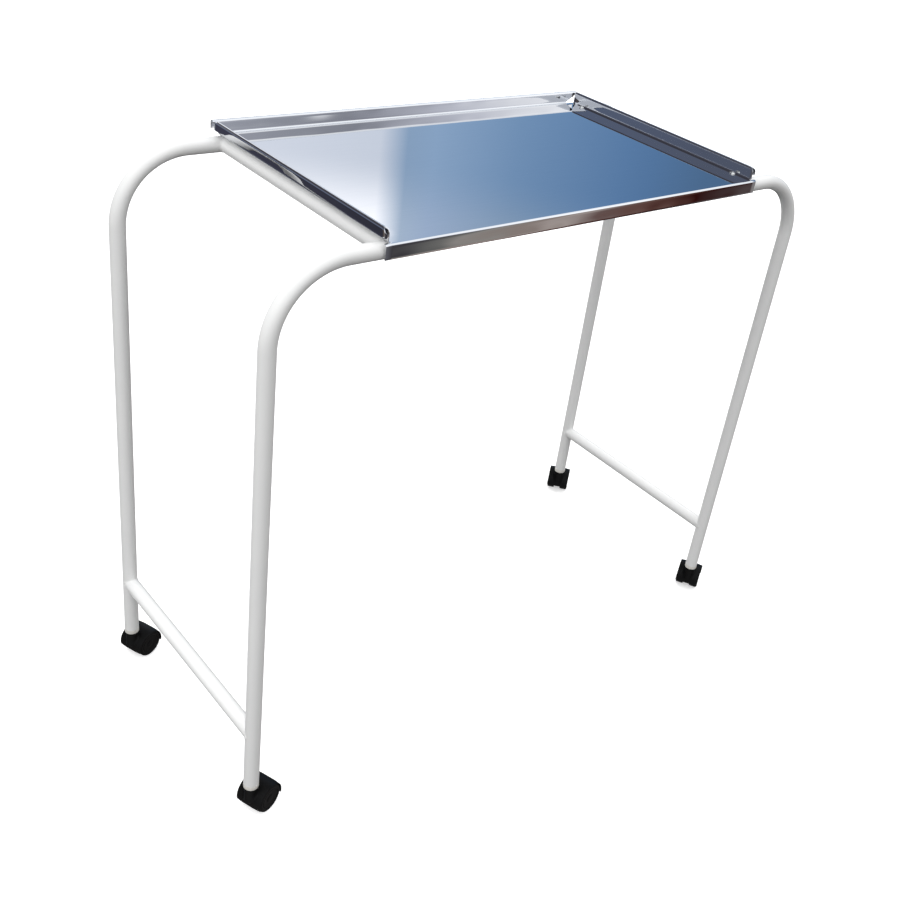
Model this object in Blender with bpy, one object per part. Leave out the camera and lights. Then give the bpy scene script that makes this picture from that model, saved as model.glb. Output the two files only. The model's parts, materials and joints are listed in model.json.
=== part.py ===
"""Overbed table on swivel castors, in metres with +Z up.

Two bent tubes bridge the bed, one in front (-Y) and one behind (+Y). Crossbars under the tray and
stretchers near the floor join them. A folded stainless tray lies on the top tubes, screwed to the
crossbars, and each leg stands on a twin-wheel castor that swivels on a stem held in a nylon socket.
The origin is on the floor, under the middle of the frame.
"""

import math

import bmesh
import bpy
from mathutils import Euler

# Clearance that touching pieces keep, and a wider one for pieces that turn.
GAP = 0.0003
RUNNING_GAP = 0.0007

# Frame tube.
TUBE_DIAMETER = 0.0254
TUBE_WALL = 0.0015
LEG_SPACING_X = 1.116
LEG_SPACING_Y = 0.442
BEND_RADIUS = 0.115
BRIDGE_AXIS_HEIGHT = 0.987
STRETCHER_AXIS_HEIGHT = 0.179

# Tray, folded from one sheet: a flat floor, a skirt in front and hemmed rims on the other three sides.
# It reaches over both bridges, and ends short of their bends.
TRAY_END_TO_BEND = 0.047
SKIRT_TO_BRIDGE = 0.0026
CROSSBAR_INSET = 0.015
SHEET = 0.0012
RIM_HEIGHT = 0.021
FLOOR_BEND_RADIUS = 0.003
HEM_WIDTH = 0.008
HEM_DROP = 0.014
SKIRT_HEIGHT = 0.0225
SKIRT_BEND_RADIUS = 0.003
FRONT_TAB = 0.002
CORNER_RELIEF = 0.0008
REAR_NOTCH = 0.028
RIM_END_RADIUS = 0.008

# Screws that hold the tray to the crossbars.
SCREW_TO_BRIDGE_AXIS = 0.026
SCREW_SHANK_DIAMETER = 0.0040
SCREW_HOLE_DIAMETER = 0.0048
SCREW_SEAT_DIAMETER = 0.013
SCREW_SEAT_DEPTH = 0.0001
SCREW_LENGTH = 0.010
SCREW_HEAD_DIAMETER = 0.0095
SCREW_HEAD_HEIGHT = 0.0030
SCREW_HEAD_EDGE = 0.0010
SCREW_DOME_SHOULDER = 0.0024
SCREW_CROWN_DIAMETER = 0.0038

# Castor.
WHEEL_DIAMETER = 0.050
WHEEL_WIDTH = 0.017
WHEEL_HUB_DIAMETER = 0.016
WHEEL_RECESS_DEPTH = 0.005
WHEEL_RIM_THICKNESS = 0.005
WHEEL_EDGE = 0.0015
WHEEL_CAP_DIAMETER = 0.036
WHEEL_CAP_DEPTH = 0.001
AXLE_DIAMETER = 0.006
AXLE_GRIP = 0.012
TRAIL = 0.022
WEB_WALL = 0.0012
HOOD_WALL = 0.002
HOOD_CLEARANCE = 0.0015
HOOD_OVERHANG = 0.0008
HOOD_LOW_ANGLE = math.radians(-15)
BOSS_DIAMETER = 0.022
BOSS_ABOVE_HOOD = 0.0055
BOSS_LENGTH = 0.029
STEM_DIAMETER = 0.010
STEM_REACH_DOWN = 0.0245
STEM_REACH_UP = 0.038
STEM_COLLAR_DIAMETER = 0.018
STEM_COLLAR_THICKNESS = 0.002
STEM_TIP_CHAMFER = 0.001
RING_GROOVE_DEPTH = 0.0008
RING_GROOVE_HEIGHT = 0.004
RING_GROOVE_BELOW_TIP = 0.006
RING_THICKNESS = 0.0013
RING_SLIT = math.radians(40)
SOCKET_COLLAR_HEIGHT = 0.008
SOCKET_DEPTH = 0.036
SOCKET_CHAMBER_CLEARANCE = 0.0007

# Direction in which each castor trails at rest, turned from +X about its stem.
TRAIL_ANGLES = {
    "front_left": math.radians(20),
    "rear_left": math.radians(20),
    "rear_right": math.radians(40),
    "front_right": math.radians(30),
}

# Fineness of the round shapes.
TUBE_SIDES = 16
BEND_STEPS = 8
SHEET_BEND_STEPS = 3
HEM_STEPS = 6
WHEEL_SIDES = 20
HOOD_STEPS = 14
SMALL_SIDES = 12
RING_STEPS = 12

# Worked out from the sizes above.
TUBE_RADIUS = TUBE_DIAMETER / 2
TUBE_BORE_RADIUS = TUBE_RADIUS - TUBE_WALL
LEG_X = LEG_SPACING_X / 2
LEG_Y = LEG_SPACING_Y / 2
TRAY_HALF_LENGTH = LEG_X - BEND_RADIUS - TRAY_END_TO_BEND
TRAY_HALF_DEPTH = LEG_Y + TUBE_RADIUS + SKIRT_TO_BRIDGE + SHEET
CROSSBAR_X = TRAY_HALF_LENGTH - CROSSBAR_INSET
SCREW_Y = LEG_Y - SCREW_TO_BRIDGE_AXIS
WHEEL_RADIUS = WHEEL_DIAMETER / 2
STEM_RADIUS = STEM_DIAMETER / 2
AXLE_RADIUS = AXLE_DIAMETER / 2
HOOD_RADIUS = WHEEL_RADIUS + HOOD_CLEARANCE + HOOD_WALL
WEB_THICKNESS = STEM_DIAMETER + 2 * GAP + 2 * WEB_WALL
WHEEL_INNER_FACE = WEB_THICKNESS / 2 + RUNNING_GAP
HOOD_WIDTH = 2 * (WHEEL_INNER_FACE + WHEEL_WIDTH + HOOD_OVERHANG)
BOSS_TOP_HEIGHT = WHEEL_RADIUS + HOOD_RADIUS + BOSS_ABOVE_HOOD
BOSS_FOOT_HEIGHT = BOSS_TOP_HEIGHT - BOSS_LENGTH
STEM_FOOT = BOSS_TOP_HEIGHT - STEM_REACH_DOWN
COLLAR_FOOT = BOSS_TOP_HEIGHT + GAP
SOCKET_FOOT = COLLAR_FOOT + STEM_COLLAR_THICKNESS + GAP
LEG_FOOT = SOCKET_FOOT + SOCKET_COLLAR_HEIGHT + GAP
TRAY_FLOOR_HEIGHT = BRIDGE_AXIS_HEIGHT + TUBE_RADIUS + GAP + SHEET
STEM_TIP = SOCKET_FOOT + STEM_REACH_UP
GROOVE_TOP = STEM_TIP - RING_GROOVE_BELOW_TIP
GROOVE_FOOT = GROOVE_TOP - RING_GROOVE_HEIGHT
CORNERS = {
    "front_left": (-LEG_X, -LEG_Y),
    "front_right": (LEG_X, -LEG_Y),
    "rear_left": (-LEG_X, LEG_Y),
    "rear_right": (LEG_X, LEG_Y),
}


def finish(name, colour, roughness, metallic):
    """A plain Principled material."""
    material = bpy.data.materials.new(name)
    material.use_nodes = True
    shader = material.node_tree.nodes["Principled BSDF"]
    shader.inputs["Base Color"].default_value = (*colour, 1)
    shader.inputs["Roughness"].default_value = roughness
    shader.inputs["Metallic"].default_value = metallic
    return material


def add_object(name, mesh, material):
    """Puts a finished mesh in the scene, shaded smooth over its round stretches."""
    mesh.shade_smooth()
    mesh.set_sharp_from_angle(angle=math.radians(35))
    mesh.materials.append(material)
    obj = bpy.data.objects.new(name, mesh)
    bpy.context.scene.collection.objects.link(obj)
    return obj


def mesh_from(name, points, faces):
    """A mesh from points and faces, with its doubles merged and its faces turned outwards."""
    work = bmesh.new()
    corners = [work.verts.new(point) for point in points]
    for face in faces:
        work.faces.new([corners[i] for i in face])
    bmesh.ops.remove_doubles(work, verts=work.verts, dist=1e-6)
    bmesh.ops.recalc_face_normals(work, faces=work.faces)
    mesh = bpy.data.meshes.new(name)
    work.to_mesh(mesh)
    work.free()
    return mesh


def band(first, second, count, closed=True):
    """Quads between two rows of count points that start at these indices."""
    steps = count if closed else count - 1
    return [
        (first + i, first + (i + 1) % count, second + (i + 1) % count, second + i)
        for i in range(steps)
    ]


def circle(radius, sides):
    """Points of a regular polygon whose flats face along the axes."""
    half = math.pi / sides
    return [
        (radius * math.cos(half + 2 * half * i), radius * math.sin(half + 2 * half * i))
        for i in range(sides)
    ]


def turned(name, profile, sides):
    """A turned solid about Z. The profile is (radius, height) points: it runs from the axis to the
    axis, or round a closed loop when no point lies on the axis."""
    points = []
    rows = []
    for radius, height in profile:
        rows.append((len(points), radius > 0))
        ring = circle(radius, sides) if radius > 0 else [(0.0, 0.0)]
        points += [(x, y, height) for x, y in ring]
    open_profile = profile[0][0] == 0
    pairs = list(zip(rows, rows[1:]))
    if not open_profile:
        pairs.append((rows[-1], rows[0]))
    faces = []
    for (first, first_round), (second, second_round) in pairs:
        if first_round and second_round:
            faces += band(first, second, sides)
        elif second_round:
            faces += [(first, second + i, second + (i + 1) % sides) for i in range(sides)]
        else:
            faces += [(second, first + i, first + (i + 1) % sides) for i in range(sides)]
    return mesh_from(name, points, faces)


def hollow_run(name, outer_rows, inner_rows):
    """A tube wall between matching rows of outer and inner points, with ring-shaped ends."""
    count = len(outer_rows[0])
    points = [point for row in outer_rows + inner_rows for point in row]
    inner_start = count * len(outer_rows)
    faces = []
    for step in range(len(outer_rows) - 1):
        faces += band(step * count, (step + 1) * count, count)
        faces += band(inner_start + step * count, inner_start + (step + 1) * count, count)
    last = (len(outer_rows) - 1) * count
    faces += band(0, inner_start, count)
    faces += band(last, inner_start + last, count)
    return mesh_from(name, points, faces)


def cutter(name, mesh, location=(0, 0, 0), rotation=(0, 0, 0), parent=None):
    """A helper that only cuts: it isn't rendered."""
    obj = bpy.data.objects.new(name, mesh)
    bpy.context.scene.collection.objects.link(obj)
    obj.location = location
    obj.rotation_euler = Euler(rotation)
    obj.parent = parent
    obj.hide_render = True
    obj.display_type = "WIRE"
    return obj


def combine(obj, other, operation):
    """Adds a Boolean with another object."""
    modifier = obj.modifiers.new(operation.lower() + " " + other.name, "BOOLEAN")
    modifier.operation = operation
    modifier.solver = "EXACT"
    modifier.object = other


def bridge_path():
    """(x, z, direction angle) along the bridge's centre line, up the left leg and down the right."""
    turn_height = BRIDGE_AXIS_HEIGHT - BEND_RADIUS
    turn_x = LEG_X - BEND_RADIUS
    path = [(-LEG_X, LEG_FOOT, math.pi / 2)]
    for step in range(BEND_STEPS + 1):
        angle = math.pi - step * math.pi / 2 / BEND_STEPS
        x = -turn_x + BEND_RADIUS * math.cos(angle)
        z = turn_height + BEND_RADIUS * math.sin(angle)
        path.append((x, z, angle - math.pi / 2))
    mirrored = [(-x, z, -direction) for x, z, direction in reversed(path)]
    return path + mirrored


def make_bridge(name, y, material):
    """One tube bent into a leg, a top and a leg, open at its feet."""

    def rows(radius):
        found = []
        for x, z, direction in bridge_path():
            side = (-math.sin(direction), math.cos(direction))
            found.append(
                [(x + a * side[0], y + b, z + a * side[1]) for a, b in circle(radius, TUBE_SIDES)]
            )
        return found

    mesh = hollow_run(name, rows(TUBE_RADIUS), rows(TUBE_BORE_RADIUS))
    return add_object(name, mesh, material)


def make_cope_cutters(name, places, rotation):
    """Cutters for the coped ends of a tube: the tubes it is welded to, each wider by the gap.

    Their sides are parallel to the tube's own, so the gap is the same all round.
    """
    radius = TUBE_RADIUS + GAP / math.cos(math.pi / TUBE_SIDES)
    reach = TUBE_DIAMETER
    profile = [(0, -reach), (radius, -reach), (radius, reach), (0, reach)]
    found = []
    for end, place in zip(("front", "rear"), places):
        mesh = turned("cope", profile, TUBE_SIDES)
        found.append(cutter(f"{name}_{end}_cope", mesh, location=place, rotation=rotation))
    return found


def make_coped_tube(name, x, height, rotation, material):
    """A tube along Y, welded at each end to a tube that the rotation turns from upright."""

    def row(radius, y):
        return [(x + across, y, height + up) for across, up in circle(radius, TUBE_SIDES)]

    ends = (-LEG_Y, LEG_Y)
    outer = [row(TUBE_RADIUS, y) for y in ends]
    inner = [row(TUBE_BORE_RADIUS, y) for y in ends]
    obj = add_object(name, hollow_run(name, outer, inner), material)
    for cope in make_cope_cutters(name, [(x, y, height) for y in ends], rotation):
        combine(obj, cope, "DIFFERENCE")
    return obj


def screw_places():
    """(name ending, x, y) of the four tray screws."""
    return [
        ("front_left", -CROSSBAR_X, -SCREW_Y),
        ("front_right", CROSSBAR_X, -SCREW_Y),
        ("rear_left", -CROSSBAR_X, SCREW_Y),
        ("rear_right", CROSSBAR_X, SCREW_Y),
    ]


def make_crossbar(name, x, hole_cutters, material):
    """The tube under the tray's end, between the bridges' tops, drilled for two screws."""
    obj = make_coped_tube(name, x, BRIDGE_AXIS_HEIGHT, (0, math.pi / 2, 0), material)
    for hole in hole_cutters:
        combine(obj, hole, "DIFFERENCE")
    return obj


def make_stretcher(name, x, material):
    """The tube between two legs near the floor."""
    return make_coped_tube(name, x, STRETCHER_AXIS_HEIGHT, (0, 0, 0), material)


def rim_section():
    """(outward, up) along a rim: the bend from the floor, the wall, and the hem over its top."""
    section = []
    for step in range(SHEET_BEND_STEPS + 1):
        angle = step * math.pi / 2 / SHEET_BEND_STEPS
        section.append(
            (FLOOR_BEND_RADIUS * math.sin(angle), FLOOR_BEND_RADIUS * (1 - math.cos(angle)))
        )
    hem_radius = HEM_WIDTH / 2
    for step in range(HEM_STEPS + 1):
        angle = math.pi * (1 - step / HEM_STEPS)
        out = FLOOR_BEND_RADIUS + hem_radius + hem_radius * math.cos(angle)
        section.append((out, RIM_HEIGHT - hem_radius + hem_radius * math.sin(angle)))
    section.append((FLOOR_BEND_RADIUS + HEM_WIDTH, RIM_HEIGHT - HEM_DROP))
    return section


def skirt_section():
    """(outward, up) along the front skirt."""
    section = []
    for step in range(SHEET_BEND_STEPS + 1):
        angle = step * math.pi / 2 / SHEET_BEND_STEPS
        section.append(
            (SKIRT_BEND_RADIUS * math.sin(angle), SKIRT_BEND_RADIUS * (math.cos(angle) - 1))
        )
    section.append((SKIRT_BEND_RADIUS, -SKIRT_HEIGHT))
    return section


def rim_front_set_back(up):
    """How far a side rim's rounded front end lies behind its foot, at a height above the floor."""
    above = max(0.0, up - (RIM_HEIGHT - RIM_END_RADIUS))
    return RIM_END_RADIUS - math.sqrt(RIM_END_RADIUS**2 - above**2)


def rear_notch_inset(out, up):
    """How far the rear rim's inner wall is cut back at each end: a slope from floor to hem."""
    wall = out <= FLOOR_BEND_RADIUS
    wall_top = RIM_HEIGHT - HEM_WIDTH / 2
    return REAR_NOTCH * max(0.0, 1 - up / wall_top) if wall else 0.0


def tray_mesh(name):
    """The tray's upper surface: a flat floor of quads, with each folded side swept from an edge."""
    side_edge = TRAY_HALF_LENGTH - HEM_WIDTH - FLOOR_BEND_RADIUS
    rear_edge = TRAY_HALF_DEPTH - HEM_WIDTH - FLOOR_BEND_RADIUS
    front_edge = -TRAY_HALF_DEPTH + SKIRT_BEND_RADIUS
    tab_edge = front_edge + FRONT_TAB
    rim_start = tab_edge + CORNER_RELIEF
    rim_end = rear_edge - CORNER_RELIEF
    half = TRAY_HALF_LENGTH
    notch = side_edge - REAR_NOTCH
    columns = [-half, -side_edge, -notch, notch, side_edge, half]
    levels = [front_edge, tab_edge, rim_start, rim_end, rear_edge]
    work = bmesh.new()

    def add_strip(rows):
        """Quads between successive rows of points."""
        made = [[work.verts.new(point) for point in row] for row in rows]
        for low, high in zip(made, made[1:]):
            for i in range(len(low) - 1):
                work.faces.new((low[i], low[i + 1], high[i + 1], high[i]))

    base = TRAY_FLOOR_HEIGHT
    for level, (near, far) in enumerate(zip(levels, levels[1:])):
        row = columns if level == 0 else columns[1:-1]
        add_strip([[(x, y, base) for x in row] for y in (near, far)])

    front_rows = []
    for out, up in skirt_section():
        front_rows.append([(x, front_edge - out, base + up) for x in columns])
    add_strip(front_rows)

    for side in (-1, 1):
        rows = []
        for out, up in rim_section():
            x = side * (side_edge + out)
            start = rim_start + rim_front_set_back(up)
            rows.append([(x, start, base + up), (x, rim_end, base + up)])
        add_strip(rows)

    rear_rows = []
    for out, up in rim_section():
        reach = half - rear_notch_inset(out, up) if up > 0 else notch
        rear_rows.append([(x, rear_edge + out, base + up) for x in (-reach, reach)])
    add_strip(rear_rows)

    bmesh.ops.remove_doubles(work, verts=work.verts, dist=1e-6)
    bmesh.ops.recalc_face_normals(work, faces=work.faces)
    floor = min(work.faces, key=lambda face: face.calc_center_median().length_squared)
    if floor.normal.z < 0:
        bmesh.ops.reverse_faces(work, faces=work.faces)
    mesh = bpy.data.meshes.new(name)
    work.to_mesh(mesh)
    work.free()
    return mesh


def make_tray(name, hole_cutters, material):
    """The folded sheet, given its thickness below and outside the modelled surface, and drilled."""
    obj = add_object(name, tray_mesh(name), material)
    wall = obj.modifiers.new("sheet thickness", "SOLIDIFY")
    wall.thickness = SHEET
    wall.offset = -1
    wall.use_even_offset = True
    for hole in hole_cutters:
        combine(obj, hole, "DIFFERENCE")
    return obj


def make_hole_cutter(ending, x, y):
    """The drill for one screw, through the tray's floor and the crossbar's upper wall, with the
    shallow seat that the head beds into the sheet."""
    low = BRIDGE_AXIS_HEIGHT
    seat_height = TRAY_FLOOR_HEIGHT - SCREW_SEAT_DEPTH
    high = TRAY_FLOOR_HEIGHT + SCREW_HEAD_HEIGHT
    hole = SCREW_HOLE_DIAMETER / 2
    seat = SCREW_SEAT_DIAMETER / 2
    profile = [
        (0, low), (hole, low), (hole, seat_height), (seat, seat_height), (seat, high), (0, high)
    ]
    mesh = turned("drill", profile, SMALL_SIDES)
    return cutter("drill_" + ending, mesh, location=(x, y, 0))


def make_screw(ending, x, y, material):
    """A domed self-tapping screw."""
    seat = TRAY_FLOOR_HEIGHT - SCREW_SEAT_DEPTH + GAP
    tip = seat - SCREW_LENGTH
    shank = SCREW_SHANK_DIAMETER / 2
    head = SCREW_HEAD_DIAMETER / 2
    crown = SCREW_CROWN_DIAMETER / 2
    profile = [
        (0, tip),
        (shank / 2, tip),
        (shank, tip + shank),
        (shank, seat),
        (head, seat),
        (head, seat + SCREW_HEAD_EDGE),
        ((head + crown) / 2, seat + SCREW_DOME_SHOULDER),
        (crown, seat + SCREW_HEAD_HEIGHT),
        (0, seat + SCREW_HEAD_HEIGHT),
    ]
    name = "tray_screw_" + ending
    obj = add_object(name, turned(name, profile, SMALL_SIDES), material)
    obj.location = (x, y, 0)
    return obj


def make_socket(name, material):
    """The nylon socket in a leg's foot: a collar under the tube and a sleeve inside it."""
    sleeve = TUBE_BORE_RADIUS - GAP
    bore = STEM_RADIUS + GAP
    chamber = bore + SOCKET_CHAMBER_CLEARANCE
    collar_top = SOCKET_FOOT + SOCKET_COLLAR_HEIGHT
    top = collar_top + SOCKET_DEPTH
    chamber_foot = GROOVE_FOOT - GAP
    profile = [
        (bore, SOCKET_FOOT),
        (TUBE_RADIUS, SOCKET_FOOT),
        (TUBE_RADIUS, collar_top),
        (sleeve, collar_top),
        (sleeve, top),
        (chamber, top),
        (chamber, chamber_foot),
        (bore, chamber_foot),
    ]
    return add_object(name, turned(name, profile, TUBE_SIDES), material)


def make_stem(name, material):
    """The steel stem: a pin with a collar that carries the leg and a groove for the grip ring."""
    groove = STEM_RADIUS - RING_GROOVE_DEPTH
    collar = STEM_COLLAR_DIAMETER / 2
    collar_top = COLLAR_FOOT + STEM_COLLAR_THICKNESS
    profile = [
        (0, STEM_FOOT),
        (STEM_RADIUS, STEM_FOOT),
        (STEM_RADIUS, COLLAR_FOOT),
        (collar, COLLAR_FOOT),
        (collar, collar_top),
        (STEM_RADIUS, collar_top),
        (STEM_RADIUS, GROOVE_FOOT),
        (groove, GROOVE_FOOT),
        (groove, GROOVE_TOP),
        (STEM_RADIUS, GROOVE_TOP),
        (STEM_RADIUS, STEM_TIP - STEM_TIP_CHAMFER),
        (STEM_RADIUS - STEM_TIP_CHAMFER, STEM_TIP),
        (0, STEM_TIP),
    ]
    return add_object(name, turned(name, profile, SMALL_SIDES), material)


def make_grip_ring(name, material):
    """The split spring ring that snaps into the socket's chamber."""
    inner = STEM_RADIUS - RING_GROOVE_DEPTH + GAP
    outer = inner + RING_THICKNESS
    low = GROOVE_FOOT + GAP
    high = GROOVE_TOP - GAP
    points = []
    for step in range(RING_STEPS + 1):
        angle = RING_SLIT / 2 + (2 * math.pi - RING_SLIT) * step / RING_STEPS
        for radius, height in ((inner, low), (outer, low), (outer, high), (inner, high)):
            points.append((radius * math.cos(angle), radius * math.sin(angle), height))
    faces = [(0, 1, 2, 3), tuple(4 * RING_STEPS + i for i in range(4))]
    for step in range(RING_STEPS):
        faces += band(4 * step, 4 * step + 4, 4)
    return add_object(name, mesh_from(name, points, faces), material)


def hood_block_mesh(name):
    """The hood's outline, an arc round the axle closed by a level chord, carried across its width."""
    outline = []
    for step in range(HOOD_STEPS + 1):
        angle = HOOD_LOW_ANGLE + (math.pi - 2 * HOOD_LOW_ANGLE) * step / HOOD_STEPS
        x = TRAIL + HOOD_RADIUS * math.cos(angle)
        outline.append((x, WHEEL_RADIUS + HOOD_RADIUS * math.sin(angle)))
    half = HOOD_WIDTH / 2
    count = len(outline)
    points = [(x, y, z) for y in (-half, half) for x, z in outline]
    faces = [tuple(range(count)), tuple(range(count, 2 * count))]
    faces += band(0, count, count)
    return mesh_from(name, points, faces)


def make_hood(name, pivot, material):
    """The castor's body: a hood over both wheels, a web between them and a boss for the stem."""
    obj = add_object(name, hood_block_mesh(name), material)
    obj.parent = pivot
    across = (math.pi / 2, 0, 0)
    axle_place = (TRAIL, 0, WHEEL_RADIUS)
    boss_radius = BOSS_DIAMETER / 2
    boss_profile = [
        (0, BOSS_FOOT_HEIGHT),
        (boss_radius, BOSS_FOOT_HEIGHT),
        (boss_radius, BOSS_TOP_HEIGHT),
        (0, BOSS_TOP_HEIGHT),
    ]
    boss = cutter(name + "_boss", turned("boss", boss_profile, TUBE_SIDES), parent=pivot)
    combine(obj, boss, "UNION")
    pocket_radius = WHEEL_RADIUS + HOOD_CLEARANCE
    for side in (-1, 1):
        near = side * WEB_THICKNESS / 2
        far = side * HOOD_WIDTH
        low, high = min(near, far), max(near, far)
        profile = [(0, low), (pocket_radius, low), (pocket_radius, high), (0, high)]
        pocket = cutter(
            f"{name}_pocket_{side}", turned("pocket", profile, 2 * HOOD_STEPS),
            location=axle_place, rotation=across, parent=pivot,
        )
        combine(obj, pocket, "DIFFERENCE")
    bore_radius = STEM_RADIUS + GAP
    bore_foot = STEM_FOOT - GAP
    bore_mouth = BOSS_TOP_HEIGHT + STEM_COLLAR_THICKNESS
    bore_profile = [
        (0, bore_foot), (bore_radius, bore_foot), (bore_radius, bore_mouth), (0, bore_mouth)
    ]
    bore = cutter(name + "_bore", turned("bore", bore_profile, TUBE_SIDES), parent=pivot)
    combine(obj, bore, "DIFFERENCE")
    hole = AXLE_RADIUS + GAP
    hole_profile = [
        (0, -WEB_THICKNESS), (hole, -WEB_THICKNESS), (hole, WEB_THICKNESS), (0, WEB_THICKNESS)
    ]
    axle_hole = cutter(
        name + "_axle_hole", turned("axle hole", hole_profile, SMALL_SIDES),
        location=axle_place, rotation=across, parent=pivot,
    )
    combine(obj, axle_hole, "DIFFERENCE")
    return obj


def make_axle(name, pivot, material):
    """The plain steel axle, which reaches into both wheels."""
    half = WHEEL_INNER_FACE + AXLE_GRIP - GAP
    profile = [(0, -half), (AXLE_RADIUS, -half), (AXLE_RADIUS, half), (0, half)]
    obj = add_object(name, turned(name, profile, SMALL_SIDES), material)
    obj.parent = pivot
    obj.location = (TRAIL, 0, WHEEL_RADIUS)
    obj.rotation_euler = Euler((math.pi / 2, 0, 0))
    return obj


def wheel_profile():
    """(radius, distance outwards from the inner face) of a wheel, from its blind bore round to its
    cap. The tread's corners stand out, so that its flats touch the wheel's true circle."""
    bore = AXLE_RADIUS + GAP
    hub = WHEEL_HUB_DIAMETER / 2
    tread = WHEEL_RADIUS / math.cos(math.pi / WHEEL_SIDES)
    rim = tread - WHEEL_RIM_THICKNESS
    cap = WHEEL_CAP_DIAMETER / 2
    return [
        (0, AXLE_GRIP),
        (bore, AXLE_GRIP),
        (bore, 0),
        (hub, 0),
        (hub, WHEEL_RECESS_DEPTH),
        (rim, WHEEL_RECESS_DEPTH),
        (rim, 0),
        (tread - WHEEL_EDGE, 0),
        (tread, WHEEL_EDGE),
        (tread, WHEEL_WIDTH - WHEEL_EDGE),
        (tread - WHEEL_EDGE, WHEEL_WIDTH),
        (cap + WHEEL_CAP_DEPTH, WHEEL_WIDTH),
        (cap, WHEEL_WIDTH - WHEEL_CAP_DEPTH),
        (0, WHEEL_WIDTH - WHEEL_CAP_DEPTH),
    ]


def make_wheel(name, side, pivot, material):
    """A nylon wheel on the axle's end at side -1 or 1, with its flat bottom facet on the floor."""
    profile = [(r, side * (WHEEL_INNER_FACE + out)) for r, out in wheel_profile()]
    obj = add_object(name, turned(name, profile, WHEEL_SIDES), material)
    obj.parent = pivot
    obj.location = (TRAIL, 0, WHEEL_RADIUS)
    obj.rotation_euler = Euler((-math.pi / 2, 0, 0))
    return obj


def make_castor(corner, finishes):
    """One castor: its fixed socket, stem and ring, and the pieces that swivel about the stem."""
    x, y = CORNERS[corner]
    fixed = [
        make_socket("castor_socket_" + corner, finishes["socket_nylon"]),
        make_stem("castor_stem_" + corner, finishes["zinc_steel"]),
        make_grip_ring("castor_grip_ring_" + corner, finishes["zinc_steel"]),
    ]
    for piece in fixed:
        piece.location = (x, y, 0)
    pivot = bpy.data.objects.new("castor_pivot_" + corner, None)
    bpy.context.scene.collection.objects.link(pivot)
    pivot.location = (x, y, 0)
    pivot.rotation_euler = Euler((0, 0, TRAIL_ANGLES[corner]))
    make_hood("castor_hood_" + corner, pivot, finishes["castor_nylon"])
    make_axle("castor_axle_" + corner, pivot, finishes["zinc_steel"])
    make_wheel(f"castor_wheel_{corner}_left", 1, pivot, finishes["castor_nylon"])
    make_wheel(f"castor_wheel_{corner}_right", -1, pivot, finishes["castor_nylon"])


def clear_scene():
    for obj in list(bpy.data.objects):
        bpy.data.objects.remove(obj)


def main():
    clear_scene()
    finishes = {
        "powder_coat": finish("powder_coat", (0.86, 0.86, 0.85), 0.35, 0.0),
        "stainless": finish("stainless", (0.62, 0.64, 0.67), 0.12, 1.0),
        "zinc_steel": finish("zinc_steel", (0.70, 0.70, 0.68), 0.25, 1.0),
        "socket_nylon": finish("socket_nylon", (0.80, 0.79, 0.77), 0.45, 0.0),
        "castor_nylon": finish("castor_nylon", (0.012, 0.012, 0.012), 0.40, 0.0),
    }
    make_bridge("front_bridge_tube", -LEG_Y, finishes["powder_coat"])
    make_bridge("rear_bridge_tube", LEG_Y, finishes["powder_coat"])
    drills = {ending: make_hole_cutter(ending, x, y) for ending, x, y in screw_places()}
    for side, x in (("left", -CROSSBAR_X), ("right", CROSSBAR_X)):
        ends = [drills["front_" + side], drills["rear_" + side]]
        make_crossbar(side + "_crossbar", x, ends, finishes["powder_coat"])
    make_stretcher("left_stretcher", -LEG_X, finishes["powder_coat"])
    make_stretcher("right_stretcher", LEG_X, finishes["powder_coat"])
    make_tray("tray", drills.values(), finishes["stainless"])
    for ending, x, y in screw_places():
        make_screw(ending, x, y, finishes["zinc_steel"])
    for corner in CORNERS:
        make_castor(corner, finishes)


main()
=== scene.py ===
"""The finished look of an overbed table: a folded stainless tray on a white bent-tube frame.

It is laid out as a Blender add-on and run as a script. Each operator makes one group of pieces round
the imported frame, in metres with +Z up, and the last one sets up the studio.
"""

import json
import math

import bmesh
import bpy
import numpy as np
from bpy.props import FloatProperty, FloatVectorProperty, IntProperty, PointerProperty, StringProperty
from mathutils import Matrix, Vector


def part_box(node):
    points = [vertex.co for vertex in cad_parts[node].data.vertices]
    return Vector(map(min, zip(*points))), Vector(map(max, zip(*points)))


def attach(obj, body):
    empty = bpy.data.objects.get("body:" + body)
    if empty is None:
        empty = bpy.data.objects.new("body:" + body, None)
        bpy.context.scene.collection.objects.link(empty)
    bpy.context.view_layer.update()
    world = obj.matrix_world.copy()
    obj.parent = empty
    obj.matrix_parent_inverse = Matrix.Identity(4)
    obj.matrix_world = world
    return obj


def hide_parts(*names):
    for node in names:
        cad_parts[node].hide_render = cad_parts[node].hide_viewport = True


bl_info = {
    "name": "Overbed table",
    "version": (1, 0, 0),
    "blender": (4, 5, 0),
    "location": "3D View > Sidebar > Overbed table",
    "description": "Makes the tubes, tray, screws, castors and studio of an overbed table",
    "category": "Add Mesh",
}

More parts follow.
